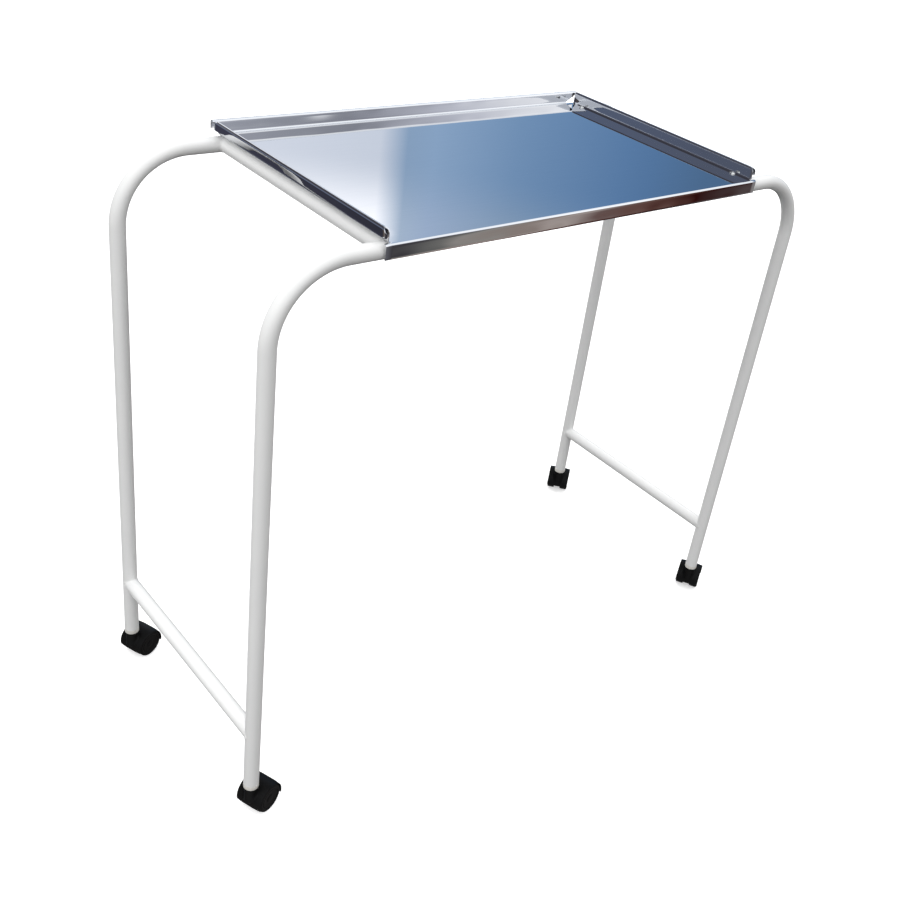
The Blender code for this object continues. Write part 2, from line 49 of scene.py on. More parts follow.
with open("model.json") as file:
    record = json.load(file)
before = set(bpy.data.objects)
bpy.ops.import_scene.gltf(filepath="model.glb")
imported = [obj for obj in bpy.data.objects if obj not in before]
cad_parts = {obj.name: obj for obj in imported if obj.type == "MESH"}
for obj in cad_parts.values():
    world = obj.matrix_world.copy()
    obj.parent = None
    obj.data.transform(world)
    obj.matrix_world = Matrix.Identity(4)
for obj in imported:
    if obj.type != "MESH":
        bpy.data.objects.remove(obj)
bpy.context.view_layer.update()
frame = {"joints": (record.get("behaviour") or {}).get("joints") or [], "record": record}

JOINTS = {joint["name"]: joint for joint in frame["joints"]}
MOUNTS = {mount["name"]: mount for mount in frame["record"]["mounts"]}
CORNERS = ("front_left", "front_right", "rear_left", "rear_right")
SIDES = ("left", "right")
FULL_TURN = 2 * math.pi
RIGHT_ANGLE = math.pi / 2
SHARP_ANGLE = math.radians(35)
MERGE_DISTANCE = 1e-6


def middle(node):
    """The middle of a node's box."""
    low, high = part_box(node)
    return (low + high) / 2


LEG_X = middle("right_stretcher").x
LEG_Y = -JOINTS["swivel_front_left"]["pos_m"][1]
LEG_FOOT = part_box("front_bridge_tube")[0].z
BRIDGE_HEIGHT = middle("left_crossbar").z
STRETCHER_HEIGHT = middle("left_stretcher").z
CROSSBAR_X = middle("right_crossbar").x
TRAY_LOW, TRAY_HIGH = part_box("tray")
TRAY_FLOOR = MOUNTS["tray_floor"]["pos_m"][2]
SOCKET_LOW, SOCKET_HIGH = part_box("castor_socket_front_left")
STEM_LOW, STEM_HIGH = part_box("castor_stem_front_left")
SWIVEL_HEIGHT = JOINTS["swivel_front_left"]["pos_m"][2]
WHEEL_RADIUS = JOINTS["spin_front_left_left"]["pos_m"][2]


# ------------------------------------------------------------------------------------------ sizes


def length(name, description, default):
    """A size in metres that a user may change."""
    return FloatProperty(
        name=name, description=description, default=default, min=0, precision=5, unit="LENGTH"
    )


def count(name, description, default):
    """A number of steps."""
    return IntProperty(name=name, description=description, default=default, min=3)


def colour(name, description, default):
    """A finish's colour as a hex string."""
    return StringProperty(name=name, description=description, default=default)


class TubeSizes(bpy.types.PropertyGroup):
    """The frame's tubes and their welds."""

    diameter: length("Diameter", "Outside diameter of every tube", 0.0254)
    wall: length("Wall", "Thickness of the tube's wall", 0.0015)
    bend_radius: length("Bend radius", "Radius of the bridges' bends, at the tube's middle", 0.115)
    flattening: FloatProperty(
        name="Flattening", description="How much a bend's section narrows", default=0.03,
        subtype="FACTOR",
    )
    end_edge: length("End edge", "Rounding of the tube's cut ends", 0.0006)
    sink: length("Sink", "How far a welded end reaches into its neighbour", 0.0003)
    bead: length("Bead", "Half width of a weld bead", 0.0027)
    bead_pitch: length("Bead pitch", "Spacing of the ripples along a weld bead", 0.0026)
    sides: count("Sides", "Points round a tube", 64)


class TraySizes(bpy.types.PropertyGroup):
    """The folded stainless tray and its screws."""

    sheet: length("Sheet", "Thickness of the sheet", 0.0012)
    bend: length("Bend", "Radius of the folds along the floor", 0.003)
    hem_width: length("Hem width", "Width of the folded hem on a rim", 0.008)
    hem_drop: length("Hem drop", "How far a hem's outer wall hangs down", 0.014)
    front_tab: length("Front tab", "Floor in front of the side rims", 0.002)
    relief: length("Relief", "Gap between two folded sides at a corner", 0.0008)
    notch: length("Rear notch", "Length cut from the rear rim's inner wall at each end", 0.028)
    end_radius: length("End radius", "Rounding of a side rim's front end", 0.008)
    wave: length("Wave", "How far the folded walls swing out of true", 0.00022)
    dimple: length("Dimple", "How far the floor is pulled down round a screw", 0.00018)
    dimple_radius: length("Dimple radius", "Reach of the pull round a screw", 0.011)
    pitch: length("Pitch", "Spacing of the floor's grid", 0.0055)
    edge: length("Edge", "Rounding of the sheet's cut edges", 0.00025)
    head_diameter: length("Head diameter", "Diameter of a screw's head", 0.0095)
    head_height: length("Head height", "Height of a screw's domed head", 0.0030)
    shank_diameter: length("Shank diameter", "Diameter of a screw's shank", 0.0040)
    recess_width: length("Recess width", "Half width of a screw's cross recess", 0.0007)
    recess_reach: length("Recess reach", "Half length of a screw's cross recess", 0.0025)
    recess_depth: length("Recess depth", "Depth of a screw's cross recess", 0.0014)


class CastorSizes(bpy.types.PropertyGroup):
    """The four twin-wheel castors."""

    wheel_width: length("Wheel width", "Width of one wheel", 0.017)
    wheel_gap: length("Wheel gap", "From the castor's middle to a wheel's inner face", 0.0072)
    tread_edge: length("Tread edge", "Rounding of the tread's corners", 0.0052)
    hub_radius: length("Hub radius", "Radius of a wheel's inner hub", 0.008)
    cap_radius: length("Cap radius", "Radius of the cap in a wheel's outer face", 0.018)
    axle_radius: length("Axle radius", "Radius of the axle", 0.003)
    axle_grip: length("Axle grip", "How far the axle reaches into a wheel", 0.012)
    clearance: length("Clearance", "Room for a piece on its pin", 0.0003)
    hood_room: length("Hood room", "Room between the wheels and the hood", 0.0015)
    hood_wall: length("Hood wall", "Thickness of the hood", 0.002)
    hood_half_width: length("Hood half width", "Half width of the hood", 0.025)
    hood_low: FloatProperty(
        name="Hood low", description="How far below the axle the hood's ends reach",
        default=math.radians(15), subtype="ANGLE",
    )
    web_half: length("Web half", "Half thickness of the web between the wheels", 0.0065)
    boss_radius: length("Boss radius", "Radius of the boss round the stem", 0.011)
    boss_length: length("Boss length", "Height of the boss", 0.029)
    stem_radius: length("Stem radius", "Radius of the stem", 0.005)
    collar_radius: length("Collar radius", "Radius of the stem's collar", 0.009)
    collar_thickness: length("Collar thickness", "Thickness of the stem's collar", 0.002)
    socket_collar: length("Socket collar", "Height of the socket's collar under the tube", 0.008)
    sides: count("Sides", "Points round a wheel", 96)


class Finishes(bpy.types.PropertyGroup):
    """The finishes' main colours."""

    powder_coat: colour("Powder coat", "Frame", "#F2F2F1")
    stainless: colour("Stainless", "Tray", "#DADBDD")
    zinc: colour("Zinc", "Screws, stems and axles", "#DEDDD8")
    socket: colour("Socket", "Natural nylon", "#E6E4DF")
    castor: colour("Castor", "Black nylon", "#0A0A0A")
    floor: colour("Floor", "Studio floor", "#F6F6F6")


class Studio(bpy.types.PropertyGroup):
    """The camera and the light."""

    place: FloatVectorProperty(
        name="Place", description="Where the camera stands", size=3, precision=5,
        default=(-1.23324, -1.33614, 1.57110), subtype="TRANSLATION",
    )
    heading: FloatProperty(
        name="Heading", description="Direction of view, turned from +X", subtype="ANGLE",
        default=math.radians(43.643),
    )
    dip: FloatProperty(
        name="Dip", description="How far the view points down", subtype="ANGLE",
        default=math.radians(29.972),
    )
    roll: FloatProperty(
        name="Roll", description="How far the camera leans", subtype="ANGLE",
        default=math.radians(9.834),
    )
    lens: FloatProperty(name="Lens", description="Focal length in mm", default=44.744)
    shift: FloatVectorProperty(
        name="Shift", description="Lens shift", size=2, default=(-0.08349, -0.03917), precision=5
    )
    floor_reach: length("Floor reach", "Half length of the floor", 40.0)
    window_place: FloatVectorProperty(
        name="Window place", description="Where the soft side light stands", size=3,
        default=(-2.2, -0.6, 1.3), subtype="TRANSLATION",
    )
    window_size: length("Window size", "Side of the square soft light", 1.6)
    window_power: FloatProperty(name="Window power", description="Its power in watts", default=9.0)


# --------------------------------------------------------------------------------------- surfaces


def grid_faces(rows, columns, wrap_rows, wrap_columns):
    """The quads of a grid of points, as point numbers. A wrapped direction closes on itself."""
    row, column = np.meshgrid(
        np.arange(rows if wrap_rows else rows - 1),
        np.arange(columns if wrap_columns else columns - 1),
        indexing="ij",
    )
    next_row = (row + 1) % rows
    next_column = (column + 1) % columns
    corners = [
        row * columns + column,
        row * columns + next_column,
        next_row * columns + next_column,
        next_row * columns + column,
    ]
    return np.stack(corners, axis=-1).reshape(-1, 4)


def mesh_from_grids(name, grids, wear=None):
    """One mesh from grids of points, each (points, wrap_rows, wrap_columns), with its seams and
    poles merged and its faces turned outwards. Wear is a value for each point."""
    points = np.concatenate([grid.reshape(-1, 3) for grid, _, _ in grids])
    faces = []
    start = 0
    for grid, wrap_rows, wrap_columns in grids:
        faces.append(start + grid_faces(grid.shape[0], grid.shape[1], wrap_rows, wrap_columns))
        start += grid.shape[0] * grid.shape[1]
    mesh = bpy.data.meshes.new(name)
    mesh.from_pydata(points.tolist(), [], np.concatenate(faces).tolist())
    if wear is not None:
        layer = mesh.attributes.new("wear", "FLOAT", "POINT")
        layer.data.foreach_set("value", np.asarray(wear, np.float32).ravel())
    work = bmesh.new()
    work.from_mesh(mesh)
    bmesh.ops.remove_doubles(work, verts=work.verts, dist=MERGE_DISTANCE)
    bmesh.ops.recalc_face_normals(work, faces=work.faces)
    work.to_mesh(mesh)
    work.free()
    return mesh


def smooth(mesh):
    """Shades the mesh smooth, except across its sharp edges."""
    mesh.shade_smooth()
    mesh.set_sharp_from_angle(angle=SHARP_ANGLE)


def add_piece(name, mesh, material, body, slot, *nodes):
    """Puts a finished mesh in the scene as a piece that rides on a body and stands for its nodes."""
    smooth(mesh)
    mesh.materials.append(material)
    piece = bpy.data.objects.new(name, mesh)
    bpy.context.scene.collection.objects.link(piece)
    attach(piece, body)
    if nodes:
        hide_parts(*nodes)
    return piece


def soften(corners, radii, steps=5):
    """A profile with rounded corners: each corner gives way to a parabola that leaves one side and
    meets the next at the corner's own radius. A radius of 0 keeps the corner."""
    corner = np.asarray(corners, float)
    to_last = np.roll(corner, 1, axis=0) - corner
    to_next = np.roll(corner, -1, axis=0) - corner
    last_length = np.linalg.norm(to_last, axis=1)
    next_length = np.linalg.norm(to_next, axis=1)
    reach = np.minimum(radii, 0.49 * np.minimum(last_length, next_length))
    start = corner + to_last * (reach / last_length)[:, None]
    end = corner + to_next * (reach / next_length)[:, None]
    t = np.linspace(0, 1, steps)[None, :, None]
    curve = (1 - t) ** 2 * start[:, None] + 2 * t * (1 - t) * corner[:, None] + t**2 * end[:, None]
    return curve.reshape(-1, 2)


def turned(profile, sides):
    """A profile of (radius, height) carried round the Z axis: x is the radius times the angle's
    cosine, y the radius times its sine, z the height."""
    angle = np.linspace(0, FULL_TURN, sides, endpoint=False)
    radius, height = profile[:, :1], profile[:, 1:]
    return np.stack(
        [radius * np.cos(angle), radius * np.sin(angle), height + 0 * angle], axis=-1
    )


def even_steps(start, end, pitch):
    """Evenly spaced values from start to end, about a pitch apart."""
    return np.linspace(start, end, max(2, round(abs(end - start) / pitch) + 1))


# ------------------------------------------------------------------------------------------ tubes


def bridge_line(distance, leg, radius, half_top):
    """A bridge's centre line by the distance from its left foot: straight up the leg, a quarter
    circle, and level to the middle. The right half mirrors the left. Gives x, the height above the
    foot, the outward direction's x and z, and the angle turned."""
    total = 2 * (leg + radius * RIGHT_ANGLE + half_top)
    near = np.minimum(distance, total - distance)
    turn = np.clip((near - leg) / radius, 0, RIGHT_ANGLE)
    over = np.maximum(near - leg - radius * RIGHT_ANGLE, 0)
    side = np.where(distance > total / 2, -1.0, 1.0)
    x = side * (over - half_top - radius * np.cos(turn))
    height = np.minimum(near, leg) + radius * np.sin(turn)
    return x, height, -side * np.cos(turn), np.sin(turn), turn


def bridge_stations(leg, radius, half_top, edge):
    """(distance, inset) of the rings along a bridge: close together in the bends, and rounded by a
    quarter circle at the cut ends."""
    turn = np.linspace(0, RIGHT_ANGLE, 5)
    bend = radius * RIGHT_ANGLE
    half = np.concatenate([
        edge * (1 - np.cos(turn)),
        np.linspace(2 * edge, leg, 14),
        leg + bend * np.linspace(0, 1, 41)[1:],
        leg + bend + half_top * np.linspace(0, 1, 12)[1:],
    ])
    inset = np.zeros(len(half))
    inset[: len(turn)] = edge * (1 - np.sin(turn))
    total = 2 * half[-1]
    distance = np.concatenate([half, total - half[-2::-1]])
    return distance, np.concatenate([inset, inset[-2::-1]])


def bridge_mesh(name, y, sizes):
    """A bent tube's wall, a circle carried along the bridge's line: outside one way and inside back.
    In a bend the circle narrows along the outward direction, most half way round."""
    radius = sizes.diameter / 2
    leg = BRIDGE_HEIGHT - sizes.bend_radius - LEG_FOOT
    half_top = LEG_X - sizes.bend_radius
    distance, inset = bridge_stations(leg, sizes.bend_radius, half_top, sizes.end_edge)
    angle = np.linspace(0, FULL_TURN, sizes.sides, endpoint=False)
    walls = []
    for outer, sign in ((radius, -1), (radius - sizes.wall, 1)):
        x, height, out_x, out_z, turn = bridge_line(distance, leg, sizes.bend_radius, half_top)
        ring = (outer + sign * inset)[:, None]
        reach = ring * (1 - sizes.flattening * np.sin(2 * turn)[:, None] ** 2) * np.cos(angle)
        walls.append(np.stack(
            [
                x[:, None] + out_x[:, None] * reach,
                y + ring * np.sin(angle),
                LEG_FOOT + height[:, None] + out_z[:, None] * reach,
            ],
            axis=-1,
        ))
    wall = np.concatenate([walls[0], walls[1][::-1]])
    return mesh_from_grids(name, [(wall, True, True)])


def saddle(across, sizes):
    """How far a tube's end stops short of its neighbour's middle: the height of the neighbour's
    circle above a point that lies this far across it."""
    radius = sizes.diameter / 2
    return np.sqrt(np.maximum(radius**2 - across**2, 0))


def cross_tube_mesh(name, x, height, meets_upright, sizes):
    """A tube along Y whose ends are hollowed to sit against the tubes it is welded to. Its ends lie
    a saddle short of their middles, and its wall runs outside one way and inside back."""
    angle = np.linspace(0, FULL_TURN, sizes.sides, endpoint=False)
    share = np.linspace(-1, 1, 9)[:, None]
    walls = []
    for radius in (sizes.diameter / 2, sizes.diameter / 2 - sizes.wall):
        across = radius * (np.cos(angle) if meets_upright else np.sin(angle))
        end = LEG_Y - saddle(across, sizes) + sizes.sink
        walls.append(np.stack(
            [
                x + radius * np.cos(angle) + 0 * share,
                share * end,
                height + radius * np.sin(angle) + 0 * share,
            ],
            axis=-1,
        ))
    wall = np.concatenate([walls[0], walls[1][::-1]])
    return mesh_from_grids(name, [(wall, True, True)])


def bead_grid(x, height, meets_upright, end, sizes):
    """A weld bead: a ripple-edged circle carried round the curve where two equal tubes meet.

    The curve lies on the cross tube, a saddle short of the neighbour's middle. The circle's middle
    is sunk along the direction half way between the two tubes' outward directions, and its radius
    swells with each ripple."""
    radius = sizes.diameter / 2
    angle = np.linspace(0, FULL_TURN, 3 * sizes.sides, endpoint=False)
    cosine, sine = np.cos(angle), np.sin(angle)
    across = cosine if meets_upright else sine
    rounding = 0.12
    short = np.sqrt(1 - across**2 + rounding**2) - rounding
    curve = np.stack([x + radius * cosine, end * (LEG_Y - radius * short), height + radius * sine], -1)
    own_out = np.stack([cosine, 0 * angle, sine], -1)
    along_neighbour = 2 if meets_upright else 0
    other_out = own_out.copy()
    other_out[:, along_neighbour] = 0
    other_out[:, 1] = -end * short
    middle_out = own_out + other_out
    middle_out /= np.linalg.norm(middle_out, axis=1)[:, None]
    tangent = np.roll(curve, -1, 0) - np.roll(curve, 1, 0)
    tangent /= np.linalg.norm(tangent, axis=1)[:, None]
    sideways = np.cross(tangent, middle_out)
    sideways /= np.linalg.norm(sideways, axis=1)[:, None]
    ripples = round(FULL_TURN * radius * 1.2 / sizes.bead_pitch)
    swell = 1 + 0.10 * np.abs(np.sin(ripples * angle / 2)) + 0.08 * np.sin(3 * angle + x)
    bead = sizes.bead * swell * (0.62 + 0.38 * short)
    centre = curve - middle_out * (0.45 * bead)[:, None]
    round_bead = np.linspace(0, FULL_TURN, 16, endpoint=False)[None, :, None]
    return centre[:, None] + bead[:, None, None] * (
        np.cos(round_bead) * middle_out[:, None] + np.sin(round_bead) * sideways[:, None]
    )


# ------------------------------------------------------------------------------------------- tray


def rim_section(rim_height, sizes):
    """(outward, up) along a rim: a quarter circle from the floor, the wall, a half circle over the
    top and the outer wall hanging down."""
    bend, hem = sizes.bend, sizes.hem_width / 2
    turn = np.linspace(0, RIGHT_ANGLE, 8)
    over = np.linspace(math.pi, 0, 17)
    wall = np.linspace(bend, rim_height - hem, 7)[1:-1]
    drop = np.linspace(rim_height - hem, rim_height - sizes.hem_drop, 5)[1:]
    out = np.concatenate([
        bend * np.sin(turn), np.full(len(wall), bend),
        bend + hem + hem * np.cos(over), np.full(len(drop), bend + 2 * hem),
    ])
    up = np.concatenate([
        bend * (1 - np.cos(turn)), wall, rim_height - hem + hem * np.sin(over), drop,
    ])
    return out, up


def skirt_section(skirt_height, sizes):
    """(outward, up) down the front skirt: a quarter circle from the floor and the wall."""
    turn = np.linspace(0, RIGHT_ANGLE, 8)
    drop = np.linspace(-sizes.bend, -skirt_height, 7)[1:]
    out = np.concatenate([sizes.bend * np.sin(turn), np.full(len(drop), sizes.bend)])
    return out, np.concatenate([sizes.bend * (np.cos(turn) - 1), drop])


def swing(along, level, phase):
    """How a folded wall strays from a plane along its length, from -1 to 1, more further from its
    fold: a long wave, a shorter one, and a slight dent between them."""
    wave = 0.6 * np.sin(along / 0.052 + phase) + 0.3 * np.sin(along / 0.021 + 2.1 * phase)
    return level * (wave + 0.25 * np.sin(along / 0.0105 + phase) * np.sin(along / 0.083))


def floor_sag(x, y, sizes):
    """How far the floor lies below its plane: a round dimple at each screw, falling off as a bell
    curve, and a sag of the same size over the open middle."""
    sag = 0
    for screw_x, screw_y in screw_places().values():
        from_screw = (x - screw_x) ** 2 + (y - screw_y) ** 2
        sag = sag + sizes.dimple * np.exp(-from_screw / sizes.dimple_radius**2)
    half_x, half_y = TRAY_HIGH.x, TRAY_HIGH.y
    open_floor = np.clip(1 - (x / half_x) ** 2, 0, 1) * np.clip(1 - (y / half_y) ** 2, 0, 1)
    return sag + sizes.dimple * open_floor**2


def screw_places():
    """Where each tray screw stands."""
    return {corner: middle("tray_screw_" + corner).xy for corner in CORNERS}


def tray_grids(sizes):
    """The tray's upper surface: a floor, and a section carried along each of its four sides. A side
    rim's front end is set back round a quarter circle, and the rear rim's inner wall slopes in."""
    half_x, half_y = TRAY_HIGH.x, TRAY_HIGH.y
    rim_height = TRAY_HIGH.z - TRAY_FLOOR
    side_edge = half_x - sizes.hem_width - sizes.bend
    rear_edge = half_y - sizes.hem_width - sizes.bend
    front_edge = -half_y + sizes.bend
    tab_edge = front_edge + sizes.front_tab
    rim_start = tab_edge + sizes.relief
    rim_end = rear_edge - sizes.relief
    notch = side_edge - sizes.notch
    guard = sizes.relief
    middle_x = np.concatenate([[-notch], even_steps(guard - notch, notch - guard, sizes.pitch), [notch]])
    outer_x = np.concatenate([even_steps(notch, side_edge - guard, sizes.pitch)[1:], [side_edge]])
    floor_x = np.concatenate([-outer_x[::-1], middle_x, outer_x])
    wide_x = np.concatenate([[-half_x], floor_x, [half_x]])
    rim_y = even_steps(rim_start, rim_end, sizes.pitch)
    floor_y = np.concatenate([[tab_edge], rim_y, [rear_edge]])

    def flat(xs, ys):
        x, y = np.meshgrid(xs, ys)
        sag = floor_sag(x, y, sizes)
        edge = (y <= tab_edge) | (y >= rear_edge) | (np.abs(x) >= side_edge)
        return np.stack([x, y, TRAY_FLOOR - np.where(edge, 0, sag)], axis=-1)

    grids = [(flat(floor_x, floor_y), False, False), (flat(wide_x, [front_edge, tab_edge]), False, False)]

    out, up = skirt_section(TRAY_FLOOR - TRAY_LOW.z, sizes)
    level = np.clip(-(up + sizes.bend) / sizes.hem_drop, 0, 1)[:, None]
    x = wide_x[None, :] + 0 * level
    y = front_edge - out[:, None] + sizes.wave * (1 + swing(x, level, 0.4)) * level
    grids.append((np.stack([x, y, TRAY_FLOOR + up[:, None] + 0 * x], axis=-1), False, False))

    out, up = rim_section(rim_height, sizes)
    level = np.clip((up - sizes.bend) / sizes.hem_drop, 0, 1)[:, None]
    above = np.maximum(up - (rim_height - sizes.end_radius), 0)
    set_back = sizes.end_radius - np.sqrt(sizes.end_radius**2 - above**2)
    span = rim_end - rim_start
    y = rim_end - (rim_end - rim_y) * ((span - set_back) / span)[:, None]
    for side, phase in ((-1, 1.7), (1, 3.1)):
        x = side * (side_edge + out[:, None] - sizes.wave * (1 + swing(y, level, phase)) * level)
        grids.append((np.stack([x, y, TRAY_FLOOR + up[:, None] + 0 * x], axis=-1), False, False))

    inner_wall = out <= sizes.bend
    wall_top = rim_height - sizes.hem_width / 2
    inset = np.where(inner_wall, sizes.notch * np.maximum(1 - up / wall_top, 0), 0)
    reach = np.where(up > 0, half_x - inset, notch)
    x = middle_x[None, :] * (reach / notch)[:, None]
    y = rear_edge + out[:, None] - sizes.wave * (1 + swing(x, level, 5.2)) * level
    grids.append((np.stack([x, y, TRAY_FLOOR + up[:, None] + 0 * x], axis=-1), False, False))
    return grids


def face_up(mesh):
    """Turns the whole sheet over if its largest face looks down."""
    normal = np.zeros(3 * len(mesh.polygons), np.float32)
    mesh.polygons.foreach_get("normal", normal)
    if normal.reshape(-1, 3)[:, 2].sum() < 0:
        mesh.flip_normals()


def finished_mesh(mesh, modifiers):
    """The mesh with modifiers applied, each (type, settings)."""
    carrier = bpy.data.objects.new("carrier", mesh)
    bpy.context.scene.collection.objects.link(carrier)
    for kind, settings in modifiers:
        modifier = carrier.modifiers.new(kind.lower(), kind)
        for name, value in settings.items():
            setattr(modifier, name, value)
    graph = bpy.context.evaluated_depsgraph_get()
    result = bpy.data.meshes.new_from_object(carrier.evaluated_get(graph))
    bpy.data.objects.remove(carrier)
    bpy.data.meshes.remove(mesh)
    return result


def screw_grid(x, y, sizes):
    """A domed screw: a profile turned about its axis, whose head is pressed in along a cross. The
    recess is deepest in the middle and fades at the arms' sides and ends."""
    head, shank = sizes.head_diameter / 2, sizes.shank_diameter / 2
    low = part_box("tray_screw_front_left")[0].z
    crown = TRAY_FLOOR + sizes.head_height
    body = soften(
        [(0, low), (0.4 * shank, low), (shank, low + shank), (shank, TRAY_FLOOR),
         (head, TRAY_FLOOR), (head, TRAY_FLOOR + 0.0008)],
        [0, 0.0004, 0.0004, 0.0002, 0.0002, 0],
    )
    turn = np.linspace(0, RIGHT_ANGLE, 26)[1:]
    rise = crown - TRAY_FLOOR - 0.0008
    dome = np.stack([head * np.cos(turn), TRAY_FLOOR + 0.0008 + rise * np.sin(turn)], axis=-1)
    grid = turned(np.concatenate([body, dome]), 96)
    local_x, local_y = np.abs(grid[..., 0]), np.abs(grid[..., 1])

    def arm(across, along):
        inside = np.clip((sizes.recess_width - across) / 0.0002 + 0.5, 0, 1)
        return inside * np.clip((sizes.recess_reach - along) / 0.0008, 0, 1)

    pressed = np.maximum(arm(local_x, local_y), arm(local_y, local_x))
    grid[len(body):, :, 2] -= sizes.recess_depth * pressed[len(body):]
    grid[..., 0] += x
    grid[..., 1] += y
    return grid


# ----------------------------------------------------------------------------------------- castor


def castor_frame(corner):
    """The stem's place, the trail and its direction, from the corner's joints."""
    stem = np.array(JOINTS["swivel_" + corner]["pos_m"])
    axle = np.array(JOINTS[f"spin_{corner}_left"]["pos_m"])
    offset = axle - stem
    return stem, math.hypot(offset[0], offset[1]), math.atan2(offset[1], offset[0])


def place_castor(grid, corner):
    """Turns a grid about Z to the castor's direction and moves it to the stem."""
    stem, _, direction = castor_frame(corner)
    cosine, sine = math.cos(direction), math.sin(direction)
    x, y = grid[..., 0], grid[..., 1]
    return np.stack(
        [stem[0] + cosine * x - sine * y, stem[1] + sine * x + cosine * y, grid[..., 2]], axis=-1
    )


def lay_on_axle(grid, corner, side=1):
    """Lays a turned grid's axis along the axle: its height becomes the distance to that side."""
    trail = castor_frame(corner)[1]
    laid = np.stack(
        [trail + grid[..., 0], side * grid[..., 2], WHEEL_RADIUS + grid[..., 1]], axis=-1
    )
    return place_castor(laid, corner)


def place_upright(grid, corner):
    """Moves a turned grid onto the stem's axis."""
    stem = castor_frame(corner)[0]
    return grid + np.array([stem[0], stem[1], 0])


def hood_grid(corner, sizes):
    """The hood and web: a T-shaped section carried round the axle. Over the wheels the section has
    its full width. Under the axle only the web is left, cut off by a level line, so a point's
    distance shrinks to the line's distance, and its width to the web's."""
    trail = castor_frame(corner)[1]
    bore = sizes.axle_radius + sizes.clearance
    pocket = WHEEL_RADIUS + sizes.hood_room
    top = pocket + sizes.hood_wall
    shoulder = top - 0.0011
    wide, web = sizes.hood_half_width, sizes.web_half
    section = soften(
        [(bore, -web), (pocket, -web), (pocket, -wide), (shoulder, -wide), (top, -0.55 * wide),
         (top, 0.55 * wide), (shoulder, wide), (pocket, wide), (pocket, web), (bore, web)],
        [0.0002, 0.002, 0.0004, 0.0016, 0.006, 0.006, 0.0016, 0.0004, 0.002, 0.0002],
        steps=7,
    )
    low = sizes.hood_low
    over = np.linspace(-low, math.pi + low, 73)
    under = np.linspace(math.pi + low, FULL_TURN - low, 33)
    line = top * math.sin(low) / np.abs(np.sin(under))
    reach, width = section[:, 0], section[:, 1]
    distance = np.concatenate([
        np.broadcast_to(reach, (len(over), len(reach))),
        bore + (reach - bore) * ((line - bore) / (top - bore))[:, None],
    ])
    across = np.concatenate([
        np.broadcast_to(width, (len(over), len(width))),
        np.broadcast_to(np.clip(width, -web, web), (len(under), len(width))),
    ])
    angle = np.concatenate([over, under])[:, None]
    grid = np.stack(
        [trail + distance * np.cos(angle), across, WHEEL_RADIUS + distance * np.sin(angle)], axis=-1
    )
    return place_castor(grid, corner)


def boss_grid(corner, sizes):
    """The boss round the stem, a turned wall that flares where it meets the hood: the flare falls
    off with the height above the hood's circle."""
    trail = castor_frame(corner)[1]
    top = SWIVEL_HEIGHT - sizes.clearance
    foot = top - sizes.boss_length
    bore = sizes.stem_radius + sizes.clearance
    outer = np.stack(
        [np.full(40, sizes.boss_radius), np.linspace(foot + 0.003, top - 0.002, 40)], axis=-1
    )
    foot_edge = soften(
        [(bore, foot), (sizes.boss_radius, foot), (sizes.boss_radius, foot + 0.003)], [0, 0.0025, 0]
    )
    top_edge = soften(
        [(sizes.boss_radius, top - 0.002), (sizes.boss_radius, top), (bore, top)], [0, 0.0018, 0]
    )
    grid = turned(np.concatenate([foot_edge, outer, top_edge]), sizes.sides)
    hood = WHEEL_RADIUS + sizes.hood_room + sizes.hood_wall
    x, y = grid[..., 0], grid[..., 1]
    surface = WHEEL_RADIUS + np.sqrt(np.maximum(hood**2 - (x - trail) ** 2, 0))
    above = np.maximum(grid[..., 2] - surface, 0)
    outside = np.hypot(x, y) > bore + MERGE_DISTANCE
    flare = np.where(outside, 1 + 0.28 * np.exp(-above / 0.0022), 1)
    grid[..., 0] = x * flare
    grid[..., 1] = y * flare
    return place_castor(grid, corner)


def wheel_profile(sizes):
    """(radius, distance from the inner face) of a wheel: a blind bore, the hub, the hollow behind
    the rim, the rounded tread, and a sunk cap with a low button."""
    bore = sizes.axle_radius + sizes.clearance
    tread, width, cap = WHEEL_RADIUS, sizes.wheel_width, sizes.cap_radius
    rim = tread - 0.005
    corners = [
        (0, sizes.axle_grip), (bore, sizes.axle_grip), (bore, 0), (sizes.hub_radius, 0),
        (sizes.hub_radius, 0.005), (rim, 0.005), (rim, 0), (tread, 0), (tread, width),
        (cap + 0.0012, width), (cap, width - 0.0014), (cap - 0.0012, width - 0.0006),
        (0.4 * cap, width - 0.0012), (0.36 * cap, width - 0.0002), (0, width),
    ]
    edge = sizes.tread_edge
    radii = [0, 0, 0, 0.0008, 0.001, 0.001, 0.001, edge, edge, 0.0008, 0.0003, 0.001, 0.0006, 0.001, 0]
    return soften(corners, radii, steps=7)


def wheel_wear(profile, sizes):
    """How worn a wheel is at each point of its profile: fully on the tread, not at all inside it."""
    tread = np.clip((profile[:, 0] - WHEEL_RADIUS + 0.0015) / 0.0012, 0, 1)
    return np.repeat(tread[:, None], sizes.sides, axis=1)


def stem_profile(sizes):
    """(radius, height) of a stem: the pin in the boss, the collar under the socket, the ring's
    groove and the chamfered tip."""
    pin, collar = sizes.stem_radius, sizes.collar_radius
    collar_top = SWIVEL_HEIGHT + sizes.collar_thickness
    ring_low, ring_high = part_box("castor_grip_ring_front_left")
    groove = pin - 0.0008
    return soften(
        [
            (0, STEM_LOW.z), (pin, STEM_LOW.z), (pin, SWIVEL_HEIGHT), (collar, SWIVEL_HEIGHT),
            (collar, collar_top), (pin, collar_top), (pin, ring_low.z - sizes.clearance),
            (groove, ring_low.z - sizes.clearance), (groove, ring_high.z + sizes.clearance),
            (pin, ring_high.z + sizes.clearance), (pin, STEM_HIGH.z), (0, STEM_HIGH.z),
        ],
        [0, 0.0006, 0.0002, 0.0006, 0.0006, 0.0003, 0.0003, 0.0001, 0.0001, 0.0003, 0.0014, 0],
    )


